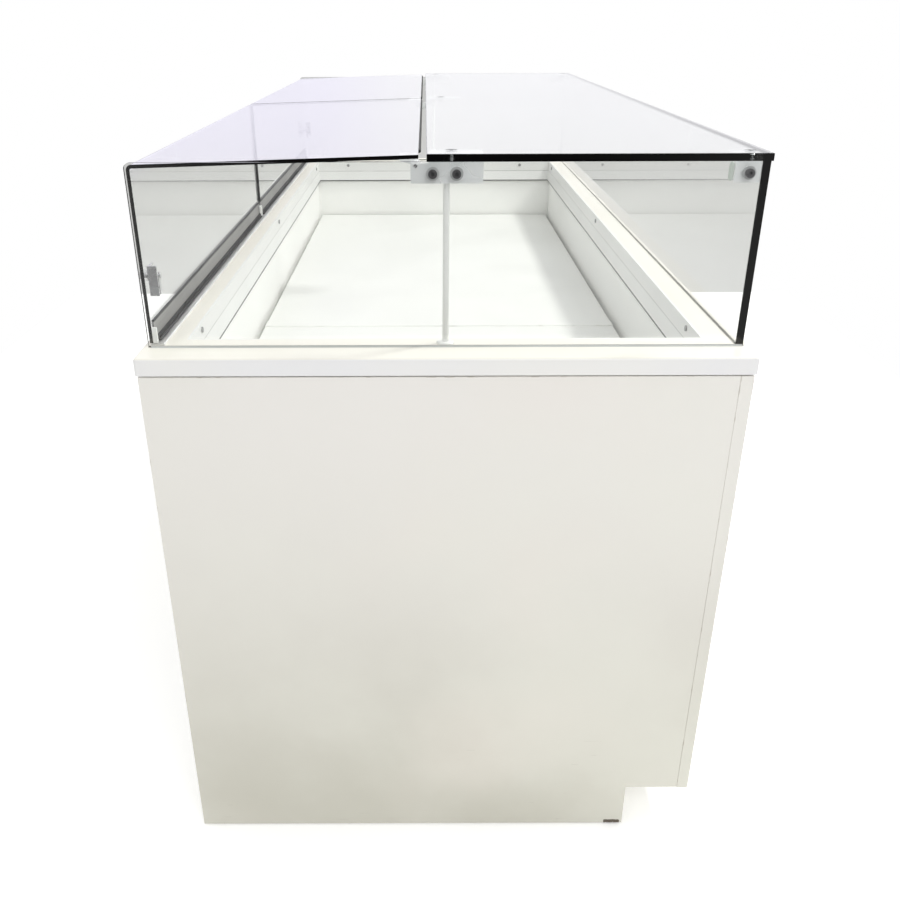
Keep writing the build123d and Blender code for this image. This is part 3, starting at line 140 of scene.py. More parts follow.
put(sky_tree, "ShaderNodeOutputWorld", {"Surface": chosen.outputs[0]})
print("room light:", len(sky_tree.nodes), "nodes")


# %% Two soft lamps
def soft_lamp(name, place, aim, size, watts, colour=(1.0, 1.0, 1.0)):
    """A square lamp that stands at place and points at aim."""
    lamp = bpy.data.lights.new(name, "AREA")
    lamp.size = size
    lamp.energy = watts
    lamp.color = colour
    stand = bpy.data.objects.new(name, lamp)
    bpy.context.scene.collection.objects.link(stand)
    target = Matrix.Translation(aim).to_translation() - Matrix.Translation(place).to_translation()
    stand.matrix_world = Matrix.Translation(place) @ target.to_track_quat("-Z", "Y").to_matrix().to_4x4()


soft_lamp("overhead lamp", (2.3, 0.2, 4.0), (0.0, 0.0, 0.8), 0.5, 88.0, (1.0, 0.99, 0.96))
soft_lamp("front lamp", (0.8, -3.7, 3.1), (0.1, -1.0, 0.75), 1.6, 33.0)


# %% [markdown]
# ## Surfaces from arrays
# Every new piece is a grid of points: row after row of a profile, carried along a path. The whole
# grid is one numpy array, so its shape is a formula and not a loop.
# %% Helpers for grids and sweeps
def skin(name, grid, body, material, smooth=True):
    """A tube from a grid of points, rows along the path and columns round the profile, closed
    round the profile and capped with a flat face at each end. Faces are turned to point outwards."""
    rows, columns, _ = grid.shape
    point = np.arange(rows * columns).reshape(rows, columns)
    following = np.roll(point, -1, axis=1)
    quads = np.stack([point[:-1], following[:-1], following[1:], point[1:]], axis=-1).reshape(-1, 4)
    corners = grid.reshape(-1, 3)
    about_middle = corners - corners.mean(axis=0)
    a, b, c, d = (about_middle[quads[:, i]] for i in range(4))
    volume = np.einsum("ij,ij->", a, np.cross(b, c) + np.cross(c, d))
    faces = quads.tolist() + [point[0, ::-1].tolist(), point[-1].tolist()]
    if volume < 0:
        faces = [face[::-1] for face in faces]
    mesh = bpy.data.meshes.new(name)
    mesh.from_pydata(corners.tolist(), [], faces)
    if smooth:
        mesh.shade_smooth()
        mesh.set_sharp_from_angle(angle=math.radians(35.0))
    mesh.materials.append(material)
    piece = bpy.data.objects.new(name, mesh)
    bpy.context.scene.collection.objects.link(piece)
    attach(piece, body)
    print(name, "with", len(mesh.polygons), "faces rides on", body)


def straight_sweep(profile, start, end, across, upward):
    """Carries a flat profile (u, v) from start to end: point = path + u * across + v * upward."""
    path = np.array([start, end])
    flat = profile[:, :1] * np.array(across) + profile[:, 1:] * np.array(upward)
    return path[:, None, :] + flat[None, :, :]


# %% [markdown]
# ## Effects that several finishes share
# Each effect is a node group: it is built once, and each material gives it its own values. A group
# only puts out masks, heights and tones. The shader itself stays in the material.
# %% Start a node group
def effect(name, inlets, outlets):
    """A new shader node group. inlets are (name, kind, start value), outlets are (name, kind)."""
    tree = bpy.data.node_groups.new(name, "ShaderNodeTree")
    for title, kind, start in inlets:
        socket = tree.interface.new_socket(title, in_out="INPUT", socket_type=kind)
        socket.default_value = start
    for title, kind in outlets:
        tree.interface.new_socket(title, in_out="OUTPUT", socket_type=kind)
    return tree, put(tree, "NodeGroupInput").outputs, put(tree, "NodeGroupOutput").inputs


def use(tree, group, **values):
    """Places an effect in a material. Its inlets are given by name, with _ for a space."""
    node = put(tree, "ShaderNodeGroup", node_tree=group)
    for title, value in values.items():
        socket = node.inputs[title.replace("_", " ")]
        if isinstance(value, bpy.types.NodeSocket):
            tree.links.new(value, socket)
        else:
            socket.default_value = value
    return node.outputs


VALUE = "NodeSocketFloat"
PLACE = "NodeSocketVector"

# %% [markdown]
# **Surface grain.** Paint, laminate and plastic are never quite even. A fine noise makes the bump
# of orange peel or moulded texture, and a broad one makes the slow drift of colour.
# %% Grain
grain, inlet, outlet = effect(
    "surface grain",
    [("Place", PLACE, (0, 0, 0)), ("Fineness", VALUE, 900.0), ("Drift", VALUE, 4.0)],
    [("Height", VALUE), ("Tone", VALUE)],
)
fine = put(grain, "ShaderNodeTexNoise", {"Vector": inlet["Place"], "Scale": inlet["Fineness"], "Detail": 2.0})
broad = put(grain, "ShaderNodeTexNoise", {"Vector": inlet["Place"], "Scale": inlet["Drift"], "Detail": 5.0})
grain.links.new(fine.outputs[0], outlet["Height"])
grain.links.new(ease(grain, broad.outputs[0], 0.35, 0.68), outlet["Tone"])
print(grain.name, len(grain.nodes), "nodes")

# %% [markdown]
# **Edge wear.** Corners get knocked first. For a piece that is nearly a box, a point on its surface
# lies in one face, and the second smallest of its distances to the faces is its distance to the
# nearest edge. Noise breaks the worn line up.
# %% Edge wear
edge_wear, inlet, outlet = effect(
    "edge wear",
    [
        ("Place", PLACE, (0, 0, 0)),
        ("Low", PLACE, (0, 0, 0)),
        ("High", PLACE, (1, 1, 1)),
        ("Width", VALUE, 0.003),
    ],
    [("Mask", VALUE)],
)
to_low = put(edge_wear, "ShaderNodeVectorMath", {0: inlet["Place"], 1: inlet["Low"]}, operation="SUBTRACT")
to_high = put(edge_wear, "ShaderNodeVectorMath", {0: inlet["High"], 1: inlet["Place"]}, operation="SUBTRACT")
both_ways = {0: to_low.outputs[0], 1: to_high.outputs[0]}
nearest = put(edge_wear, "ShaderNodeVectorMath", both_ways, operation="MINIMUM")
gap = put(edge_wear, "ShaderNodeSeparateXYZ", {0: nearest.outputs[0]}).outputs
smaller = sum_of(edge_wear, "MINIMUM", gap[0], gap[1])
larger = sum_of(edge_wear, "MAXIMUM", gap[0], gap[1])
to_edge = sum_of(edge_wear, "MAXIMUM", smaller, sum_of(edge_wear, "MINIMUM", larger, gap[2]))
patches = put(edge_wear, "ShaderNodeTexNoise", {"Vector": inlet["Place"], "Scale": 38.0, "Detail": 6.0})
reach = sum_of(edge_wear, "MULTIPLY", ease(edge_wear, patches.outputs[0], 0.52, 0.72), inlet["Width"])
worn = sum_of(edge_wear, "LESS_THAN", to_edge, reach)
edge_wear.links.new(worn, outlet["Mask"])
print(edge_wear.name, len(edge_wear.nodes), "nodes")

# %% [markdown]
# **Scuffs.** Trolleys and shoes leave short level rubs, more of them low down. The noise is drawn
# out along one direction, so its blobs turn into streaks, and only the peaks are kept.
# %% Scuffs
scuffs, inlet, outlet = effect(
    "scuffs",
    [("Place", PLACE, (0, 0, 0)), ("Stretch", PLACE, (6.0, 6.0, 160.0)), ("Amount", VALUE, 0.5)],
    [("Mask", VALUE), ("Haze", VALUE)],
)
drawn = put(scuffs, "ShaderNodeVectorMath", {0: inlet["Place"], 1: inlet["Stretch"]}, operation="MULTIPLY")
streaks = put(scuffs, "ShaderNodeTexNoise", {"Vector": drawn.outputs[0], "Scale": 1.0, "Detail": 4.0})
spots = put(scuffs, "ShaderNodeTexNoise", {"Vector": inlet["Place"], "Scale": 9.0, "Detail": 3.0})
threshold = sum_of(scuffs, "MULTIPLY_ADD", inlet["Amount"], -0.16, 0.80)
streak = sum_of(scuffs, "GREATER_THAN", streaks.outputs[0], threshold)
marked = sum_of(scuffs, "MULTIPLY", streak, ease(scuffs, spots.outputs[0], 0.45, 0.6))
scuffs.links.new(marked, outlet["Mask"])
scuffs.links.new(ease(scuffs, spots.outputs[0], 0.4, 0.75), outlet["Haze"])
print(scuffs.name, len(scuffs.nodes), "nodes")

# %% [markdown]
# **Brushed metal.** Rolled and brushed metal has fine lines along one direction. The same noise is
# squeezed across that direction and left long along it.
# %% Brushed lines
brushed, inlet, outlet = effect(
    "brushed lines",
    [("Place", PLACE, (0, 0, 0)), ("Stretch", PLACE, (900.0, 8.0, 900.0))],
    [("Height", VALUE), ("Tone", VALUE)],
)
drawn = put(brushed, "ShaderNodeVectorMath", {0: inlet["Place"], 1: inlet["Stretch"]}, operation="MULTIPLY")
lines = put(brushed, "ShaderNodeTexNoise", {"Vector": drawn.outputs[0], "Scale": 1.0, "Detail": 3.0})
brushed.links.new(lines.outputs[0], outlet["Height"])
brushed.links.new(ease(brushed, lines.outputs[0], 0.3, 0.7), outlet["Tone"])
print(brushed.name, len(brushed.nodes), "nodes")

# %% [markdown]
# **Cut edge of glass.** A pane is clear through its faces, but its ground edge swallows light and
# reads almost black. The edge is where the surface turns away from the pane's flat direction.
# %% Cut edge
cut_edge, inlet, outlet = effect(
    "cut edge",
    [("Facing", PLACE, (0, 0, 1)), ("Flat direction", PLACE, (0, 0, 1))],
    [("Mask", VALUE)],
)
directions = {0: inlet["Facing"], 1: inlet["Flat direction"]}
along_flat = put(cut_edge, "ShaderNodeVectorMath", directions, operation="DOT_PRODUCT")
square_on = sum_of(cut_edge, "ABSOLUTE", along_flat.outputs["Value"])
cut_edge.links.new(ease(cut_edge, square_on, 0.9, 0.6), outlet["Mask"])
print(cut_edge.name, len(cut_edge.nodes), "nodes")

# %% [markdown]
# ** Shadow line.** Painted shade: a narrow dark line at a given height, such as the crease and the foot of
# an extrusion, stands in for the shade that falls there. The mask is 1 within a given distance of a height
# and falls off just outside it.
# %% Shadow line
shadow_line, inlet, outlet = effect(
    "shadow line",
    [("Place", PLACE, (0, 0, 0)), ("Level", VALUE, 0.0), ("Half width", VALUE, 0.001)],
    [("Mask", VALUE)],
)
height = put(shadow_line, "ShaderNodeSeparateXYZ", {0: inlet["Place"]}).outputs[2]
off_level = sum_of(shadow_line, "ABSOLUTE", sum_of(shadow_line, "SUBTRACT", height, inlet["Level"]))
widths_away = sum_of(shadow_line, "DIVIDE", off_level, inlet["Half width"])
shadow_line.links.new(ease(shadow_line, widths_away, 1.3, 0.8), outlet["Mask"])
print(shadow_line.name, len(shadow_line.nodes), "nodes")


# %% [markdown]
# ## Finishes
# `blank` starts a material with a Principled shader and Object coordinates, which stay fixed to
# the piece. `give` puts a finished material on one CAD node.
# %% Start and place a material
def blank(name, **values):
    """A new material: returns it, its tree, its shader and the piece's own coordinates."""
    material = bpy.data.materials.new(name)
    material.use_nodes = True
    tree = material.node_tree
    tree.nodes.clear()
    shader = put(tree, "ShaderNodeBsdfPrincipled")
    for title, value in values.items():
        shader.inputs[title.replace("_", " ")].default_value = value
    put(tree, "ShaderNodeOutputMaterial", {"Surface": shader.outputs[0]})
    where = put(tree, "ShaderNodeTexCoord").outputs
    return material, tree, shader, where


def feed(tree, shader, **sources):
    """Links outputs to the shader's inputs by name, with _ for a space."""
    for title, source in sources.items():
        tree.links.new(source, shader.inputs[title.replace("_", " ")])


def bumped(tree, height, depth):
    """A normal from a height map, depth in metres."""
    return put(tree, "ShaderNodeBump", {"Height": height, "Distance": depth, "Strength": 1.0}).outputs[0]


def give(material, *names):
    """Puts a material on CAD nodes, in every material slot they have."""
    for name in names:
        for place in nodes[name].material_slots:
            place.material = material


def shaded(tree, place, colour, lines):
    """Paints shade along level lines: darkens a colour along each line, given as a height, a half width and a
    tone.
    """
    for level, half_width, tone in lines:
        line = use(tree, shadow_line, Place=place, Level=level, Half_width=half_width)
        colour = blend_colour(tree, line["Mask"], colour, tone)
    return colour


# %% [markdown]
# **Painted, laminated and moulded parts** share one recipe: a base colour that drifts slightly, a
# fine bump, streaky scuffs, and a worn line along the edges where the core shows.
# %% Coated finish
def coated(
    name, tone, drift_tone, rough, box_of=None, fineness=900.0, depth=0.00006, wear=0.0015, scuff=0.25,
    scuff_tone=(0.35, 0.34, 0.32), core_tone=(0.42, 0.38, 0.33), shade=(), **values
):
    """A solid colour coat on one piece. box_of is the CAD node whose edges wear, shade lists lines of painted
    shade.
    """
    material, tree, shader, where = blank(name, **values)
    place = where["Object"]
    peel = use(tree, grain, Place=place, Fineness=fineness)
    rubs = use(tree, scuffs, Place=place, Amount=scuff)
    colour = blend_colour(tree, peel["Tone"], tone, drift_tone)
    colour = blend_colour(tree, sum_of(tree, "MULTIPLY", rubs["Mask"], 0.35), colour, scuff_tone)
    if box_of:
        low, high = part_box(box_of)
        knocks = use(tree, edge_wear, Place=place, Low=low, High=high, Width=wear)
        colour = blend_colour(tree, sum_of(tree, "MULTIPLY", knocks["Mask"], 0.7), colour, core_tone)
    colour = shaded(tree, place, colour, shade)
    roughness = sum_of(tree, "MULTIPLY_ADD", rubs["Haze"], 0.12, rough)
    feed(tree, shader, Base_Color=colour, Roughness=roughness, Normal=bumped(tree, peel["Height"], depth))
    return material


# %% [markdown]
# **Metal parts** use a bright base with brushed or cast lines. Each one names the direction that
# its lines run in by stretching the noise.
# %% Metal finish
def metal(name, tone, dark_tone, rough, stretch, depth=0.00002, shade=()):
    """Bare or plated metal with lines along the least stretched direction."""
    material, tree, shader, where = blank(name, Metallic=1.0)
    lines = use(tree, brushed, Place=where["Object"], Stretch=stretch)
    haze = use(tree, scuffs, Place=where["Object"], Amount=0.4)
    colour = shaded(tree, where["Object"], blend_colour(tree, lines["Tone"], dark_tone, tone), shade)
    streaky = sum_of(tree, "MULTIPLY_ADD", lines["Tone"], 0.08, rough)
    roughness = sum_of(tree, "MULTIPLY_ADD", haze["Haze"], 0.08, streaky)
    feed(tree, shader, Base_Color=colour, Roughness=roughness, Normal=bumped(tree, lines["Height"], depth))
    return material


# %% [markdown]
# **Glass.** A real pane has two surfaces, so the shader is real glass with refraction. Light rays
# to lamps and from matt surfaces go straight through, slightly dimmed, or the well under the
# canopy would be dark and noisy. Cleaning leaves a faint haze, which shows in the roughness.
# %% Glass finish
def glass(name, flat, tint, edge_tone=(0.0, 0.0, 0.0), edge_extra=None, tint_extra=None):
    """Clear glass with dark ground edges. flat is the direction that the pane's faces look in."""
    material, tree, shader, where = blank(name, Transmission_Weight=1.0, IOR=1.5)
    mask = use(tree, cut_edge, Facing=where["Normal"], Flat_direction=flat)["Mask"]
    if edge_extra:
        mask = edge_extra(tree, mask, where)
    clear = tint_extra(tree, tint, where) if tint_extra else tint
    wipes = use(tree, scuffs, Place=where["Object"], Stretch=(5.0, 5.0, 5.0), Amount=0.0)
    haze = sum_of(tree, "MULTIPLY", wipes["Haze"], 0.012)
    ground = sum_of(tree, "MULTIPLY_ADD", mask, 0.12, haze)
    feed(tree, shader, Base_Color=blend_colour(tree, mask, clear, edge_tone), Roughness=ground)
    passing = put(tree, "ShaderNodeBsdfTransparent", {"Color": (0.95, 0.96, 0.955, 1.0)}).outputs[0]
    ray = put(tree, "ShaderNodeLightPath").outputs
    for_lamps = put(
        tree, "ShaderNodeMixShader", {0: ray["Is Shadow Ray"], 1: shader.outputs[0], 2: passing}
    )
    for_walls = put(
        tree, "ShaderNodeMixShader", {0: ray["Is Diffuse Ray"], 1: for_lamps.outputs[0], 2: passing}
    )
    output = [n for n in tree.nodes if n.type == "OUTPUT_MATERIAL"][0]
    tree.links.new(for_walls.outputs[0], output.inputs["Surface"])
    return material


# %% [markdown]
# ### The cabinet
# The end panels are faced with a warm off-white laminate. It has yellowed unevenly, it is painted
# darker towards the floor as shade, and the low corner by the toe kick is chipped to its dark core.
# %% Laminate panels
def laminate(name, node, chip=None):
    """Laminate board: warm blotches, painted shade on the lower part, rubs near the floor and knocked edges.
    """
    material, tree, shader, where = blank(name, Specular_IOR_Level=0.42)
    place = where["Object"]
    height_up = put(tree, "ShaderNodeSeparateXYZ", {0: place}).outputs
    peel = use(tree, grain, Place=place, Fineness=1400.0, Drift=2.6)
    blush = put(tree, "ShaderNodeTexNoise", {"Vector": place, "Scale": 3.1, "Detail": 1.5})
    # Painted shade: the board's colour darkens towards the floor.
    painted_low_shade = ease(tree, height_up[2], 0.95, 0.0)
    colour = blend_colour(tree, painted_low_shade, (0.810, 0.790, 0.762), (0.530, 0.518, 0.452))
    colour = blend_colour(tree, sum_of(tree, "MULTIPLY", peel["Tone"], 0.35), colour, (0.765, 0.765, 0.70))
    pink = sum_of(tree, "MULTIPLY", ease(tree, blush.outputs[0], 0.50, 0.85), 0.3)
    colour = blend_colour(tree, pink, colour, (0.80, 0.735, 0.68))
    rubs = use(tree, scuffs, Place=place, Stretch=(14.0, 14.0, 190.0), Amount=0.55)
    near_floor = ease(tree, height_up[2], 0.32, 0.04)
    shown = sum_of(tree, "MULTIPLY", sum_of(tree, "MULTIPLY", rubs["Mask"], near_floor), 0.55)
    colour = blend_colour(tree, shown, colour, (0.36, 0.34, 0.30))
    low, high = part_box(node)
    knocks = use(tree, edge_wear, Place=place, Low=low, High=high, Width=0.0016)
    colour = blend_colour(tree, sum_of(tree, "MULTIPLY", knocks["Mask"], 0.4), colour, (0.42, 0.38, 0.32))
    if chip:
        across, up = chip
        beside = sum_of(tree, "ABSOLUTE", sum_of(tree, "SUBTRACT", height_up[0], across[0]))
        above = sum_of(tree, "ABSOLUTE", sum_of(tree, "SUBTRACT", height_up[2], up[0]))
        near_across = ease(tree, beside, across[1], across[1] * 0.5)
        near_up = ease(tree, above, up[1], up[1] * 0.5)
        bite = sum_of(tree, "MULTIPLY", near_across, near_up)
        torn = put(tree, "ShaderNodeTexNoise", {"Vector": place, "Scale": 160.0, "Detail": 4.0})
        bite = sum_of(tree, "GREATER_THAN", sum_of(tree, "MULTIPLY", bite, torn.outputs[0]), 0.32)
        colour = blend_colour(tree, bite, colour, (0.09, 0.07, 0.05))
    roughness = sum_of(tree, "MULTIPLY_ADD", rubs["Haze"], 0.14, 0.36)
    feed(tree, shader, Base_Color=colour, Roughness=roughness, Normal=bumped(tree, peel["Height"], 0.00004))
    return material


BOARD = 0.019
CHIP_WIDE, CHIP_HIGH = 0.020, 0.008
notch_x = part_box("toe_kick_boards")[0].x + BOARD
corner_chip = ((notch_x - CHIP_WIDE, CHIP_WIDE), (0.006, CHIP_HIGH))
give(laminate("near end laminate", "end_panel_near", corner_chip), "end_panel_near")
for title, board in (
    ("far end laminate", "end_panel_far"),
    ("customer side laminate", "customer_panel"),
    ("service side laminate", "service_panel"),
    ("toe kick laminate", "toe_kick_boards"),
):
    give(laminate(title, board), board)
print("five laminate boards finished")

# %% [markdown]
# The worktop rim is a moulded cream frame. Painted light: its flat top gets a warm lit cream tone
# and its outer faces a cooler light grey, chosen by which way each face looks.
# %% Rim, access panel, grille and feet
def rim_colour_and_light():
    """Moulded rim with painted light: a warm lit cream where it faces up, a cooler grey on its upright faces.
    """
    material, tree, shader, where = blank("cream rim", Specular_IOR_Level=0.45)
    place = where["Object"]
    peel = use(tree, grain, Place=place, Fineness=700.0, Drift=3.0)
    # Painted light: the tone follows the facing, warm and lit on top and cooler on the upright faces.
    upward = put(tree, "ShaderNodeSeparateXYZ", {0: where["Normal"]}).outputs[2]
    warm_lit_top_tone = blend_colour(tree, peel["Tone"], (0.80, 0.775, 0.715), (0.78, 0.755, 0.69))
    cool_lit_side_tone = blend_colour(tree, peel["Tone"], (0.80, 0.80, 0.815), (0.82, 0.815, 0.80))
    colour = blend_colour(tree, ease(tree, upward, 0.35, 0.85), cool_lit_side_tone, warm_lit_top_tone)
    rubs = use(tree, scuffs, Place=place, Amount=0.4)
    colour = blend_colour(tree, sum_of(tree, "MULTIPLY", rubs["Mask"], 0.3), colour, (0.45, 0.44, 0.42))
    roughness = sum_of(tree, "MULTIPLY_ADD", rubs["Haze"], 0.14, 0.30)
    feed(tree, shader, Base_Color=colour, Roughness=roughness, Normal=bumped(tree, peel["Height"], 0.00005))
    return material


give(rim_colour_and_light(), "worktop_frame")
powder = {"box_of": "access_panel", "fineness": 650.0, "depth": 0.0001}
give(coated("white powder coat", (0.80, 0.80, 0.78), (0.78, 0.78, 0.75), 0.38, **powder), "access_panel")
give(
    coated("grille plastic", (0.70, 0.70, 0.68), (0.64, 0.64, 0.61), 0.45, "vent_grille", depth=0.00004),
    "vent_grille",
)
rusty = {"box_of": "base_frame", "core_tone": (0.30, 0.19, 0.12)}
give(coated("black frame enamel", (0.030, 0.030, 0.032), (0.045, 0.043, 0.042), 0.5, **rusty), "base_frame")
give(metal("zinc deck", (0.60, 0.61, 0.62), (0.47, 0.48, 0.50), 0.42, (30.0, 30.0, 30.0)), "machine_deck")
give(coated("foot plastic", (0.03, 0.03, 0.03), (0.05, 0.05, 0.05), 0.55, scuff=0.7), "levelling_feet")
print("rim, powder coat, grille, frame and feet finished")

# %% [markdown]
# ### The well
# The collar is white extruded plastic, the liner and deck are white enamelled steel. Both are
# clean and bright, with a faint waviness in the sheet. Painted shade: a dark line at the collar's
# foot and a fine grey one along its crease stand in for the shade there.
# %% Collar, liner and deck
collar_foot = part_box("collar_service")[0].z
CREASE = 0.031
# Painted shade: a near-black line at the collar's foot and a grey line along its crease.
collar_shade_lines = (
    (collar_foot + 0.0005, 0.0022, (0.05, 0.05, 0.05)),
    (collar_foot + CREASE, 0.0005, (0.42, 0.42, 0.41)),
)
extruded = {"fineness": 500.0, "depth": 0.00003, "scuff": 0.1, "shade": collar_shade_lines}
give(
    coated("collar plastic", (0.79, 0.79, 0.78), (0.76, 0.76, 0.75), 0.30, **extruded),
    "collar_service", "collar_customer", "collar_ends",
)
LINER_WHITE, DECK_WHITE = 0.92, 0.83
enamelled = {"fineness": 420.0, "depth": 0.00008, "scuff": 0.15, "wear": 0.0008}
for sheet in ("well_liner", "deck_panel_short", "deck_panel_long", "deck_seam_strip"):
    whiteness = LINER_WHITE if sheet == "well_liner" else DECK_WHITE
    bright = (whiteness, whiteness, whiteness - 0.02)
    dull = (whiteness - 0.04, whiteness - 0.04, whiteness - 0.06)
    give(coated(sheet + " enamel", bright, dull, 0.32, sheet, **enamelled), sheet)
screw_lines = (700.0, 700.0, 700.0)
give(metal("small screw steel", (0.42, 0.42, 0.42), (0.26, 0.26, 0.26), 0.35, screw_lines), "collar_screws")
print("collar, liner, deck and screws finished")

# %% [markdown]
# ### Behind the panels
# The machine parts only show when a panel is off, but each still gets its own finish.
# %% Machine compartment finishes
give(
    metal("galvanised sheet", (0.66, 0.67, 0.69), (0.50, 0.52, 0.54), 0.38, (22.0, 22.0, 22.0)),
    "tank_skin", "fan_shroud",
)
give(
    coated(
        "insulating foam", (0.80, 0.68, 0.38), (0.70, 0.57, 0.28), 0.85,
        fineness=260.0, depth=0.0008, scuff=0.0,
    ),
    "foam_insulation",
)
give(
    metal("aluminium tube", (0.78, 0.79, 0.80), (0.62, 0.63, 0.65), 0.30, (300.0, 300.0, 300.0)),
    "evaporator_coil", "condenser",
)
give(coated("drain plastic", (0.55, 0.56, 0.57), (0.48, 0.49, 0.50), 0.40, scuff=0.2), "drain_tube")
dusty = {"scuff": 0.5, "scuff_tone": (0.12, 0.11, 0.1)}
give(
    coated("black pot enamel", (0.012, 0.012, 0.013), (0.022, 0.021, 0.02), 0.28, **dusty),
    "compressor", "fan_motor",
)
give(
    coated("grommet rubber", (0.02, 0.02, 0.02), (0.035, 0.035, 0.034), 0.75, fineness=500.0, depth=0.0001),
    "compressor_grommets",
)
give(coated("fan plastic", (0.04, 0.04, 0.045), (0.06, 0.06, 0.06), 0.42), "fan_blade")
give(
    metal("copper pipe", (0.80, 0.42, 0.25), (0.50, 0.24, 0.14), 0.28, (60.0, 60.0, 60.0)),
    "refrigerant_lines", "filter_drier",
)
give(
    coated(
        "control box plastic", (0.045, 0.046, 0.05), (0.06, 0.061, 0.065), 0.48,
        fineness=1500.0, depth=0.0001,
    ),
    "control_box", "cord_gland",
)
give(
    coated("knob plastic", (0.03, 0.03, 0.032), (0.045, 0.045, 0.047), 0.35, fineness=1500.0),
    "thermostat_knob",
)
give(
    coated("switch plastic", (0.55, 0.05, 0.035), (0.45, 0.04, 0.03), 0.30, "power_switch", wear=0.0004),
    "power_switch",
)
print("machine compartment finished")

# %% [markdown]
# ### The canopy's metal
# The hinge plates, corner blocks and knuckles are satin nickel, the latches are chromed, the lid
# rails are brushed aluminium, and the posts are white enamelled rods.
# %% Nickel, chrome, rails and posts
plating = {"fineness": 300.0, "depth": 0.000006, "scuff": 0.15, "Metallic": 0.35}
give(
    coated("satin nickel", (0.90, 0.91, 0.92), (0.84, 0.85, 0.86), 0.20, **plating),
    "hinge_brackets_end", "hinge_bracket_middle", "corner_connectors",
    "lid_knuckles_near", "lid_knuckles_far",
)
give(
    metal("latch chrome", (0.56, 0.56, 0.57), (0.50, 0.50, 0.51), 0.22, (120.0, 120.0, 120.0), 0.000002),
    "latch_brackets", "latch_knob_near", "latch_knob_far",
)
rail_low, rail_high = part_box("lid_rail_near")
# Painted shade: dark lines along the top edge and the foot of each lid rail, the lower one standing in for
# the shadow in the gap under the rail.
rail_shade_lines = ((rail_high.z, 0.0016, (0.03, 0.03, 0.03)), (rail_low.z + 0.001, 0.0035, (0.02, 0.02, 0.02)))
LENGTHWISE = (900.0, 6.0, 900.0)
give(
    metal("lid rail aluminium", (0.34, 0.34, 0.34), (0.25, 0.25, 0.25), 0.34, LENGTHWISE, shade=rail_shade_lines),
    "lid_rail_near", "lid_rail_far",
)
give(
    metal("rest strip aluminium", (0.72, 0.72, 0.72), (0.62, 0.62, 0.62), 0.38, LENGTHWISE),
    "lid_rest_strip",
)
give(metal("pin steel", (0.70, 0.70, 0.71), (0.55, 0.55, 0.56), 0.2, (300.0, 20.0, 300.0)), "hinge_pins")
give(coated("post enamel", (0.80, 0.80, 0.79), (0.77, 0.77, 0.755), 0.28, fineness=600.0), "support_posts")
give(
    coated("white end cap", (0.84, 0.84, 0.83), (0.80, 0.80, 0.78), 0.38, fineness=1200.0),
    "rail_caps_near", "rail_caps_far",
)
print("canopy metal finished")

# %% [markdown]
# The socket screws have two finishes in one piece: a grey nylon washer against the glass, and a
# dark plated head outside it. The outermost part of the screw is the head.
# %% Socket screws with grey washers
screw_finish, tree, shader, where = blank("socket screw", Metallic=0.0)
at = put(tree, "ShaderNodeSeparateXYZ", {0: where["Object"]}).outputs
glass_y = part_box("end_glass_near")[0].y
glass_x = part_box("side_glass")[1].x
WASHER = 0.0016
past_end = sum_of(tree, "GREATER_THAN", sum_of(tree, "ABSOLUTE", at[1]), -glass_y + WASHER)
past_side = sum_of(tree, "GREATER_THAN", at[0], glass_x + WASHER)
head = sum_of(tree, "MAXIMUM", past_end, past_side)
lines = use(tree, brushed, Place=where["Object"], Stretch=(800.0, 800.0, 800.0))
plated = blend_colour(tree, lines["Tone"], (0.10, 0.10, 0.105), (0.20, 0.20, 0.205))
NYLON = (0.36, 0.37, 0.37)
feed(
    tree,
    shader,
    Metallic=sum_of(tree, "MULTIPLY", head, 0.6),
    Base_Color=blend_colour(tree, head, NYLON, plated),
    Roughness=sum_of(tree, "MULTIPLY_ADD", head, -0.30, 0.42),
    Normal=bumped(tree, lines["Height"], 0.00002),
)
give(screw_finish, "socket_screws")
give(
    metal("countersunk screw steel", (0.62, 0.63, 0.64), (0.42, 0.43, 0.44), 0.22, (500.0, 500.0, 500.0)),
    "countersunk_screws",
)
print("canopy screws finished")


# %% [markdown]
# ### The canopy's glass
# The thick panes are float glass with polished edges. Through its near edge a countersunk screw
# shows as a paler stretch, so the dark edge lets up beside each screw.
# %% Thick fixed panes
SCREWS_X = (0.007, 0.410)


def screw_windows(tree, mask, where):
    """Lightens the cut edge beside the countersunk screws, at the two distances across."""
    across = put(tree, "ShaderNodeSeparateXYZ", {0: where["Object"]}).outputs[0]
    for screw_x in SCREWS_X:
        off = sum_of(tree, "ABSOLUTE", sum_of(tree, "SUBTRACT", across, screw_x))
        mask = sum_of(tree, "MULTIPLY", mask, ease(tree, off, 0.006, 0.0095))
    return mask


CLEAR = (0.985, 0.99, 0.985)
give(glass("top pane", (0, 0, 1), CLEAR, edge_extra=screw_windows), "top_glass")
give(glass("side pane", (1, 0, 0), CLEAR), "side_glass")
give(glass("end pane", (0, 1, 0), (0.99, 0.992, 0.99)), "end_glass_near", "end_glass_far")
print("fixed panes finished")


# %% [markdown]
# The lid is one sheet of glass bent along its front. Its profile runs in the XZ plane, so its ends
# look along Y. The bottom edge and the hinge edge are found by where they are.
# %% Bent lids
SKIN_DEEP = 0.0003


def bent_edges(tree, mask, where):
    """Adds the lid's bottom edge and hinge edge to the cut ends."""
    low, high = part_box("bent_glass_near")
    at = put(tree, "ShaderNodeSeparateXYZ", {0: where["Object"]}).outputs
    cut_end = sum_of(tree, "SUBTRACT", 1.0, mask)
    bottom = sum_of(tree, "LESS_THAN", at[2], low.z + SKIN_DEEP)
    hinge_side = sum_of(tree, "GREATER_THAN", at[0], high.x - SKIN_DEEP)
    return sum_of(tree, "MAXIMUM", cut_end, sum_of(tree, "MAXIMUM", bottom, hinge_side))


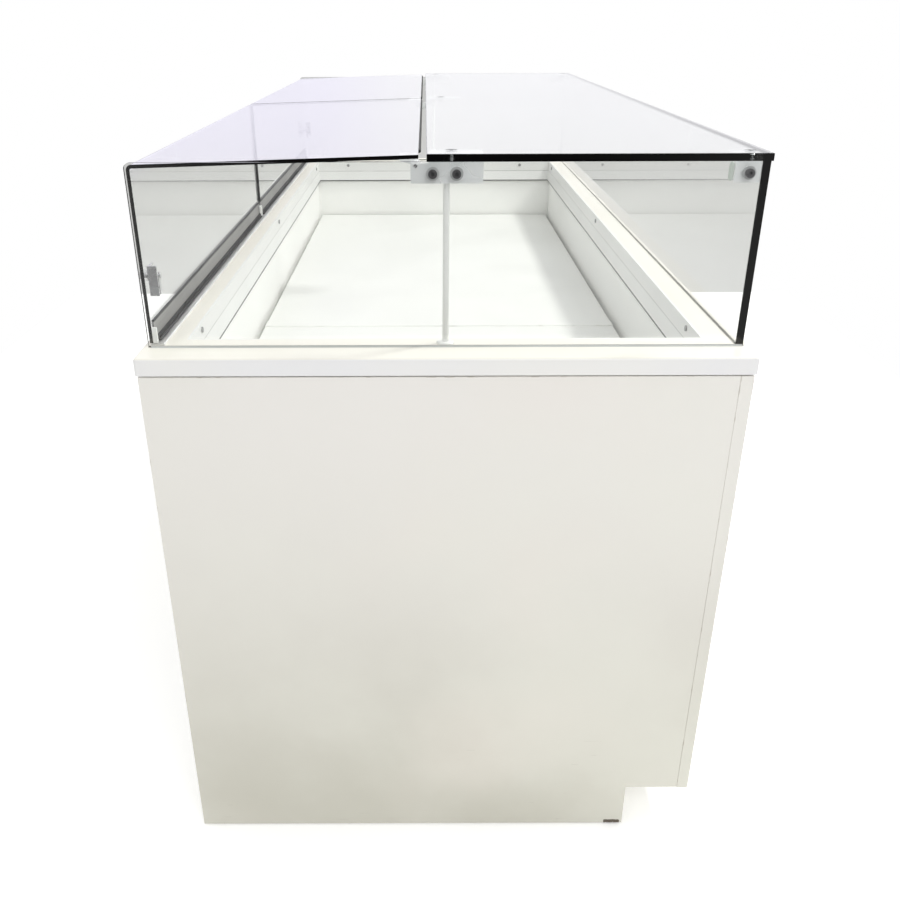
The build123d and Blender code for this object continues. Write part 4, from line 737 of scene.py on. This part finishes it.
def lilac_top(tree, tint, where):
    """The sloping top of the lid has a faint lilac cast that fades out down the front."""
    up = put(tree, "ShaderNodeSeparateXYZ", {0: where["Object"]}).outputs[2]
    return blend_colour(tree, ease(tree, up, 1.12, 1.15), (0.955, 0.96, 0.955), tint)


LILAC = (0.955, 0.945, 0.985)
lid_finish = glass("lid pane", (0, 1, 0), LILAC, edge_extra=bent_edges, tint_extra=lilac_top)
give(lid_finish, "bent_glass_near", "bent_glass_far")
give(glass("clear seal", (0, 0, 1), (0.90, 0.91, 0.90), edge_tone=(0.55, 0.56, 0.55)), "glass_seals")
print("lids and seals finished")

# %% [markdown]
# ## New trims
# A soft black gasket runs under each lid's rail and closes on the rest strip. Its section is an
# oval bulb, swept along the rail.
# %% Lid gaskets
rubber_finish = coated(
    "gasket rubber", (0.012, 0.012, 0.012), (0.022, 0.022, 0.022), 0.6, fineness=700.0, depth=0.0001
)
ALONG_X, ALONG_Z = (1, 0, 0), (0, 0, 1)
CLEAR_OF = 0.0001
BULB_WIDE = 0.0045
BULB_INSET = 0.0048
CAP_GAP = 0.007
bulb = np.linspace(0, 2 * math.pi, 20, endpoint=False)
rest_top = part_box("lid_rest_strip")[1].z
for lid in ("near", "far"):
    low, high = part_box("lid_rail_" + lid)
    radius_z = (low.z - rest_top) / 2 - CLEAR_OF
    section = np.stack([BULB_WIDE * np.cos(bulb), radius_z * np.sin(bulb)], axis=1)
    centre_x, centre_z = low.x + BULB_INSET, rest_top + CLEAR_OF + radius_z
    first, last = ((centre_x, y, centre_z) for y in (low.y + CAP_GAP, high.y - CAP_GAP))
    line = straight_sweep(section, first, last, ALONG_X, ALONG_Z)
    skin("lid_gasket_" + lid, line, "lid_" + lid, rubber_finish)

# %% [markdown]
# The far lid carries a narrow dark seal along its near end, inside the glass, so no cold air leaks
# between the two lids. It runs up the front, round the bend and along the slope. The path is an
# array of points, and the section is carried square to it.
# %% Seal between the lids
LID_GLASS = 0.005
BEND_INSIDE = 0.006
low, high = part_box("bent_glass_far")
FRONT_TOP = 1.152
SEAL_END_X = -0.070
slope = (high.z - FRONT_TOP) / (high.x - low.x)
inner_x = low.x + LID_GLASS


def under_glass(x):
    """Height of the lid's underside: a straight slope from the front to the hinge edge."""
    return FRONT_TOP + slope * (x - low.x) - LID_GLASS


turn = np.linspace(math.pi, math.pi / 2 + math.atan(slope), 9)
bend_centre = np.array([inner_x + BEND_INSIDE, under_glass(inner_x + BEND_INSIDE) - BEND_INSIDE])
rail_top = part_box("lid_rail_far")[1].z
upright = np.stack([np.full(24, inner_x), np.linspace(rail_top + 0.001, bend_centre[1], 24)], axis=1)[:-1]
corner_arc = bend_centre + BEND_INSIDE * np.stack([np.cos(turn), np.sin(turn)], axis=1)
slope_x = np.linspace(corner_arc[-1, 0], SEAL_END_X, 30)[1:]
sloping = np.stack([slope_x, under_glass(slope_x)], axis=1)
route = np.concatenate([upright, corner_arc, sloping])
heading = np.gradient(route, axis=0)
heading /= np.linalg.norm(heading, axis=1)[:, None]
inward = np.stack([heading[:, 1], -heading[:, 0]], axis=1)
SEAL_DEEP, SEAL_WIDE = 0.0040, 0.0046
section = np.array([[0.0002, -0.5], [0.0002, 0.5], [0.7, 0.5], [1.0, 0.25], [1.0, -0.25], [0.7, -0.5]])
deep = section[:, 0] * SEAL_DEEP
wide = section[:, 1] * SEAL_WIDE + low.y + SEAL_WIDE / 2
seal = np.empty((len(route), len(section), 3))
seal[:, :, 0] = route[:, :1] + inward[:, :1] * deep + inward[:, :1] * CLEAR_OF
seal[:, :, 1] = wide
seal[:, :, 2] = route[:, 1:] + inward[:, 1:] * deep + inward[:, 1:] * CLEAR_OF
skin("lid_joint_seal", seal, "lid_far", rubber_finish)

# %% [markdown]
# Each lid's hinge edge is capped with a thin dark strip that hides the gap to the fixed top pane.
# It stops short of the hinge plates, so nothing rubs as the lid swings up.
# %% Hinge edge strips
STRIP = 0.0034
STRIP_HALF_HIGH = 0.0024
STRIP_DROP = 0.0026
STRIP_ENDS = (0.030, 0.900)
edge_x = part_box("bent_glass_near")[1].x
edge_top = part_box("bent_glass_near")[1].z
round_nose = np.linspace(-math.pi / 2, math.pi / 2, 9)
nose = np.stack([STRIP * np.cos(round_nose), STRIP_HALF_HIGH * np.sin(round_nose)], axis=1)
nose[:, 0] = np.clip(nose[:, 0], CLEAR_OF, None)
for lid, side in (("near", -1), ("far", 1)):
    first, last = ((edge_x, y, edge_top - STRIP_DROP) for y in sorted(side * y for y in STRIP_ENDS))
    line = straight_sweep(nose, first, last, ALONG_X, ALONG_Z)
    skin("hinge_edge_strip_" + lid, line, "lid_" + lid, rubber_finish)

# %% [markdown]
# The panes stand in clear seals on the rim. Outside each one runs a fine bead of sealant with a
# hollow face: its section is a triangle whose long side is a circular arc.
# %% Sealant beads
bead_finish = coated(
    "grey sealant", (0.50, 0.51, 0.50), (0.42, 0.43, 0.42), 0.35, fineness=400.0, depth=0.0001
)
sweep_angle = np.linspace(0.0, math.pi / 2, 7)
BEAD = 0.0026
LID_FOOT = 0.004
PAST_PANE = 0.009
hollow = BEAD - BEAD * np.stack([np.sin(sweep_angle), np.cos(sweep_angle)], axis=1)
bead = np.concatenate([[[0.0, 0.0]], hollow]) + CLEAR_OF
rim_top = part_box("worktop_frame")[1].z
for end, side in (("near", -1), ("far", 1)):
    low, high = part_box("end_glass_" + end)
    outside_y = side * max(abs(low.y), abs(high.y))
    first, last = ((x, outside_y, rim_top) for x in (low.x + LID_FOOT, high.x + PAST_PANE))
    line = straight_sweep(bead, first, last, (0, side, 0), ALONG_Z)
    skin("end_bead_" + end, line, "cabinet", bead_finish)
low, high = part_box("side_glass")
first, last = ((high.x, y, rim_top) for y in (low.y + 0.001, high.y - 0.001))
line = straight_sweep(bead, first, last, ALONG_X, ALONG_Z)
skin("side_bead", line, "cabinet", bead_finish)

# %% [markdown]
# Beside each corner block stands a soft clear buffer. Its section is an oval, carried upright, and
# it draws in towards both ends like a pill.
# %% Corner buffers
buffer_finish = coated("soft clear buffer", (0.52, 0.56, 0.52), (0.40, 0.44, 0.41), 0.2, fineness=300.0)
low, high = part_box("corner_connectors")
pill = np.linspace(0, 2 * math.pi, 24, endpoint=False)
BUFFER_WIDE, BUFFER_DEEP = 0.0036, 0.0022
BUFFER_GAP = 0.0006
LAYERS = 12
heights = np.linspace(low.z + 0.002, high.z - 0.001, LAYERS)
bulge = np.sqrt(np.clip(1 - np.abs(np.linspace(-1, 1, LAYERS)) ** 6, 0.04, 1))
for end, side in (("near", -1), ("far", 1)):
    buffer = np.empty((LAYERS, len(pill), 3))
    buffer[:, :, 0] = low.x - BUFFER_WIDE - BUFFER_GAP + BUFFER_WIDE * bulge[:, None] * np.cos(pill)
    buffer[:, :, 1] = side * (high.y - BUFFER_DEEP) + BUFFER_DEEP * bulge[:, None] * np.sin(pill)
    buffer[:, :, 2] = heights[:, None]
    skin("corner_buffer_" + end, buffer, "cabinet", buffer_finish)

# %% [markdown]
# Round the thermostat knob the fascia carries seven raised marks on an arc. Each mark is a short
# bar that points at the knob's centre.
# %% Thermostat marks
mark_finish = coated("mark paint", (0.82, 0.82, 0.80), (0.76, 0.76, 0.74), 0.4)
knob_low, knob_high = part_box("thermostat_knob")
fascia_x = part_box("control_box")[0].x
knob_y, knob_z = (knob_low.y + knob_high.y) / 2, (knob_low.z + knob_high.z) / 2
MARK_IN, MARK_OUT, MARK_HIGH = 0.0195, 0.0235, 0.0004
THINNEST, THICKER_BY = 0.0004, 0.00008
for number, angle in enumerate(np.radians(np.linspace(-135, 135, 7))):
    spoke = np.array([0.0, math.sin(angle), math.cos(angle)])
    across = np.array([0.0, math.cos(angle), -math.sin(angle)])
    first, last = (np.array([fascia_x - CLEAR_OF, knob_y, knob_z]) + spoke * r for r in (MARK_IN, MARK_OUT))
    wide = THINNEST + THICKER_BY * number
    tip = np.array([[-wide, 0.0], [wide, 0.0], [wide * 0.7, MARK_HIGH], [-wide * 0.7, MARK_HIGH]])
    bar = straight_sweep(tip, first, last, across, (-1, 0, 0))
    skin(f"thermostat_mark_{number + 1}", bar, "cabinet", mark_finish, smooth=False)

# %% [markdown]
# ## Floor
# A wide pale floor carries the freezer and throws light back up on to it.
# %% Floor
floor_mesh = bpy.data.meshes.new("studio_floor")
FLOOR_WIDE, FLOOR_LONG = 1.9, 2.6
signs = ((-1, -1), (1, -1), (1, 1), (-1, 1))
corners = [(x * FLOOR_WIDE, y * FLOOR_LONG, 0) for x, y in signs]
floor_mesh.from_pydata(corners, [], [(0, 1, 2, 3)])
floor_finish, tree, shader, where = blank(
    "pale floor", Roughness=0.9, Specular_IOR_Level=0.1, Emission_Color=(1, 1, 1, 1), Emission_Strength=0.22
)
paper = use(tree, grain, Place=where["Object"], Fineness=60.0, Drift=0.7)
feed(tree, shader, Base_Color=blend_colour(tree, paper["Tone"], (0.93, 0.93, 0.925), (0.92, 0.92, 0.915)))
floor_mesh.materials.append(floor_finish)
studio_floor = bpy.data.objects.new("studio_floor", floor_mesh)
bpy.context.scene.collection.objects.link(studio_floor)
print("floor ready")
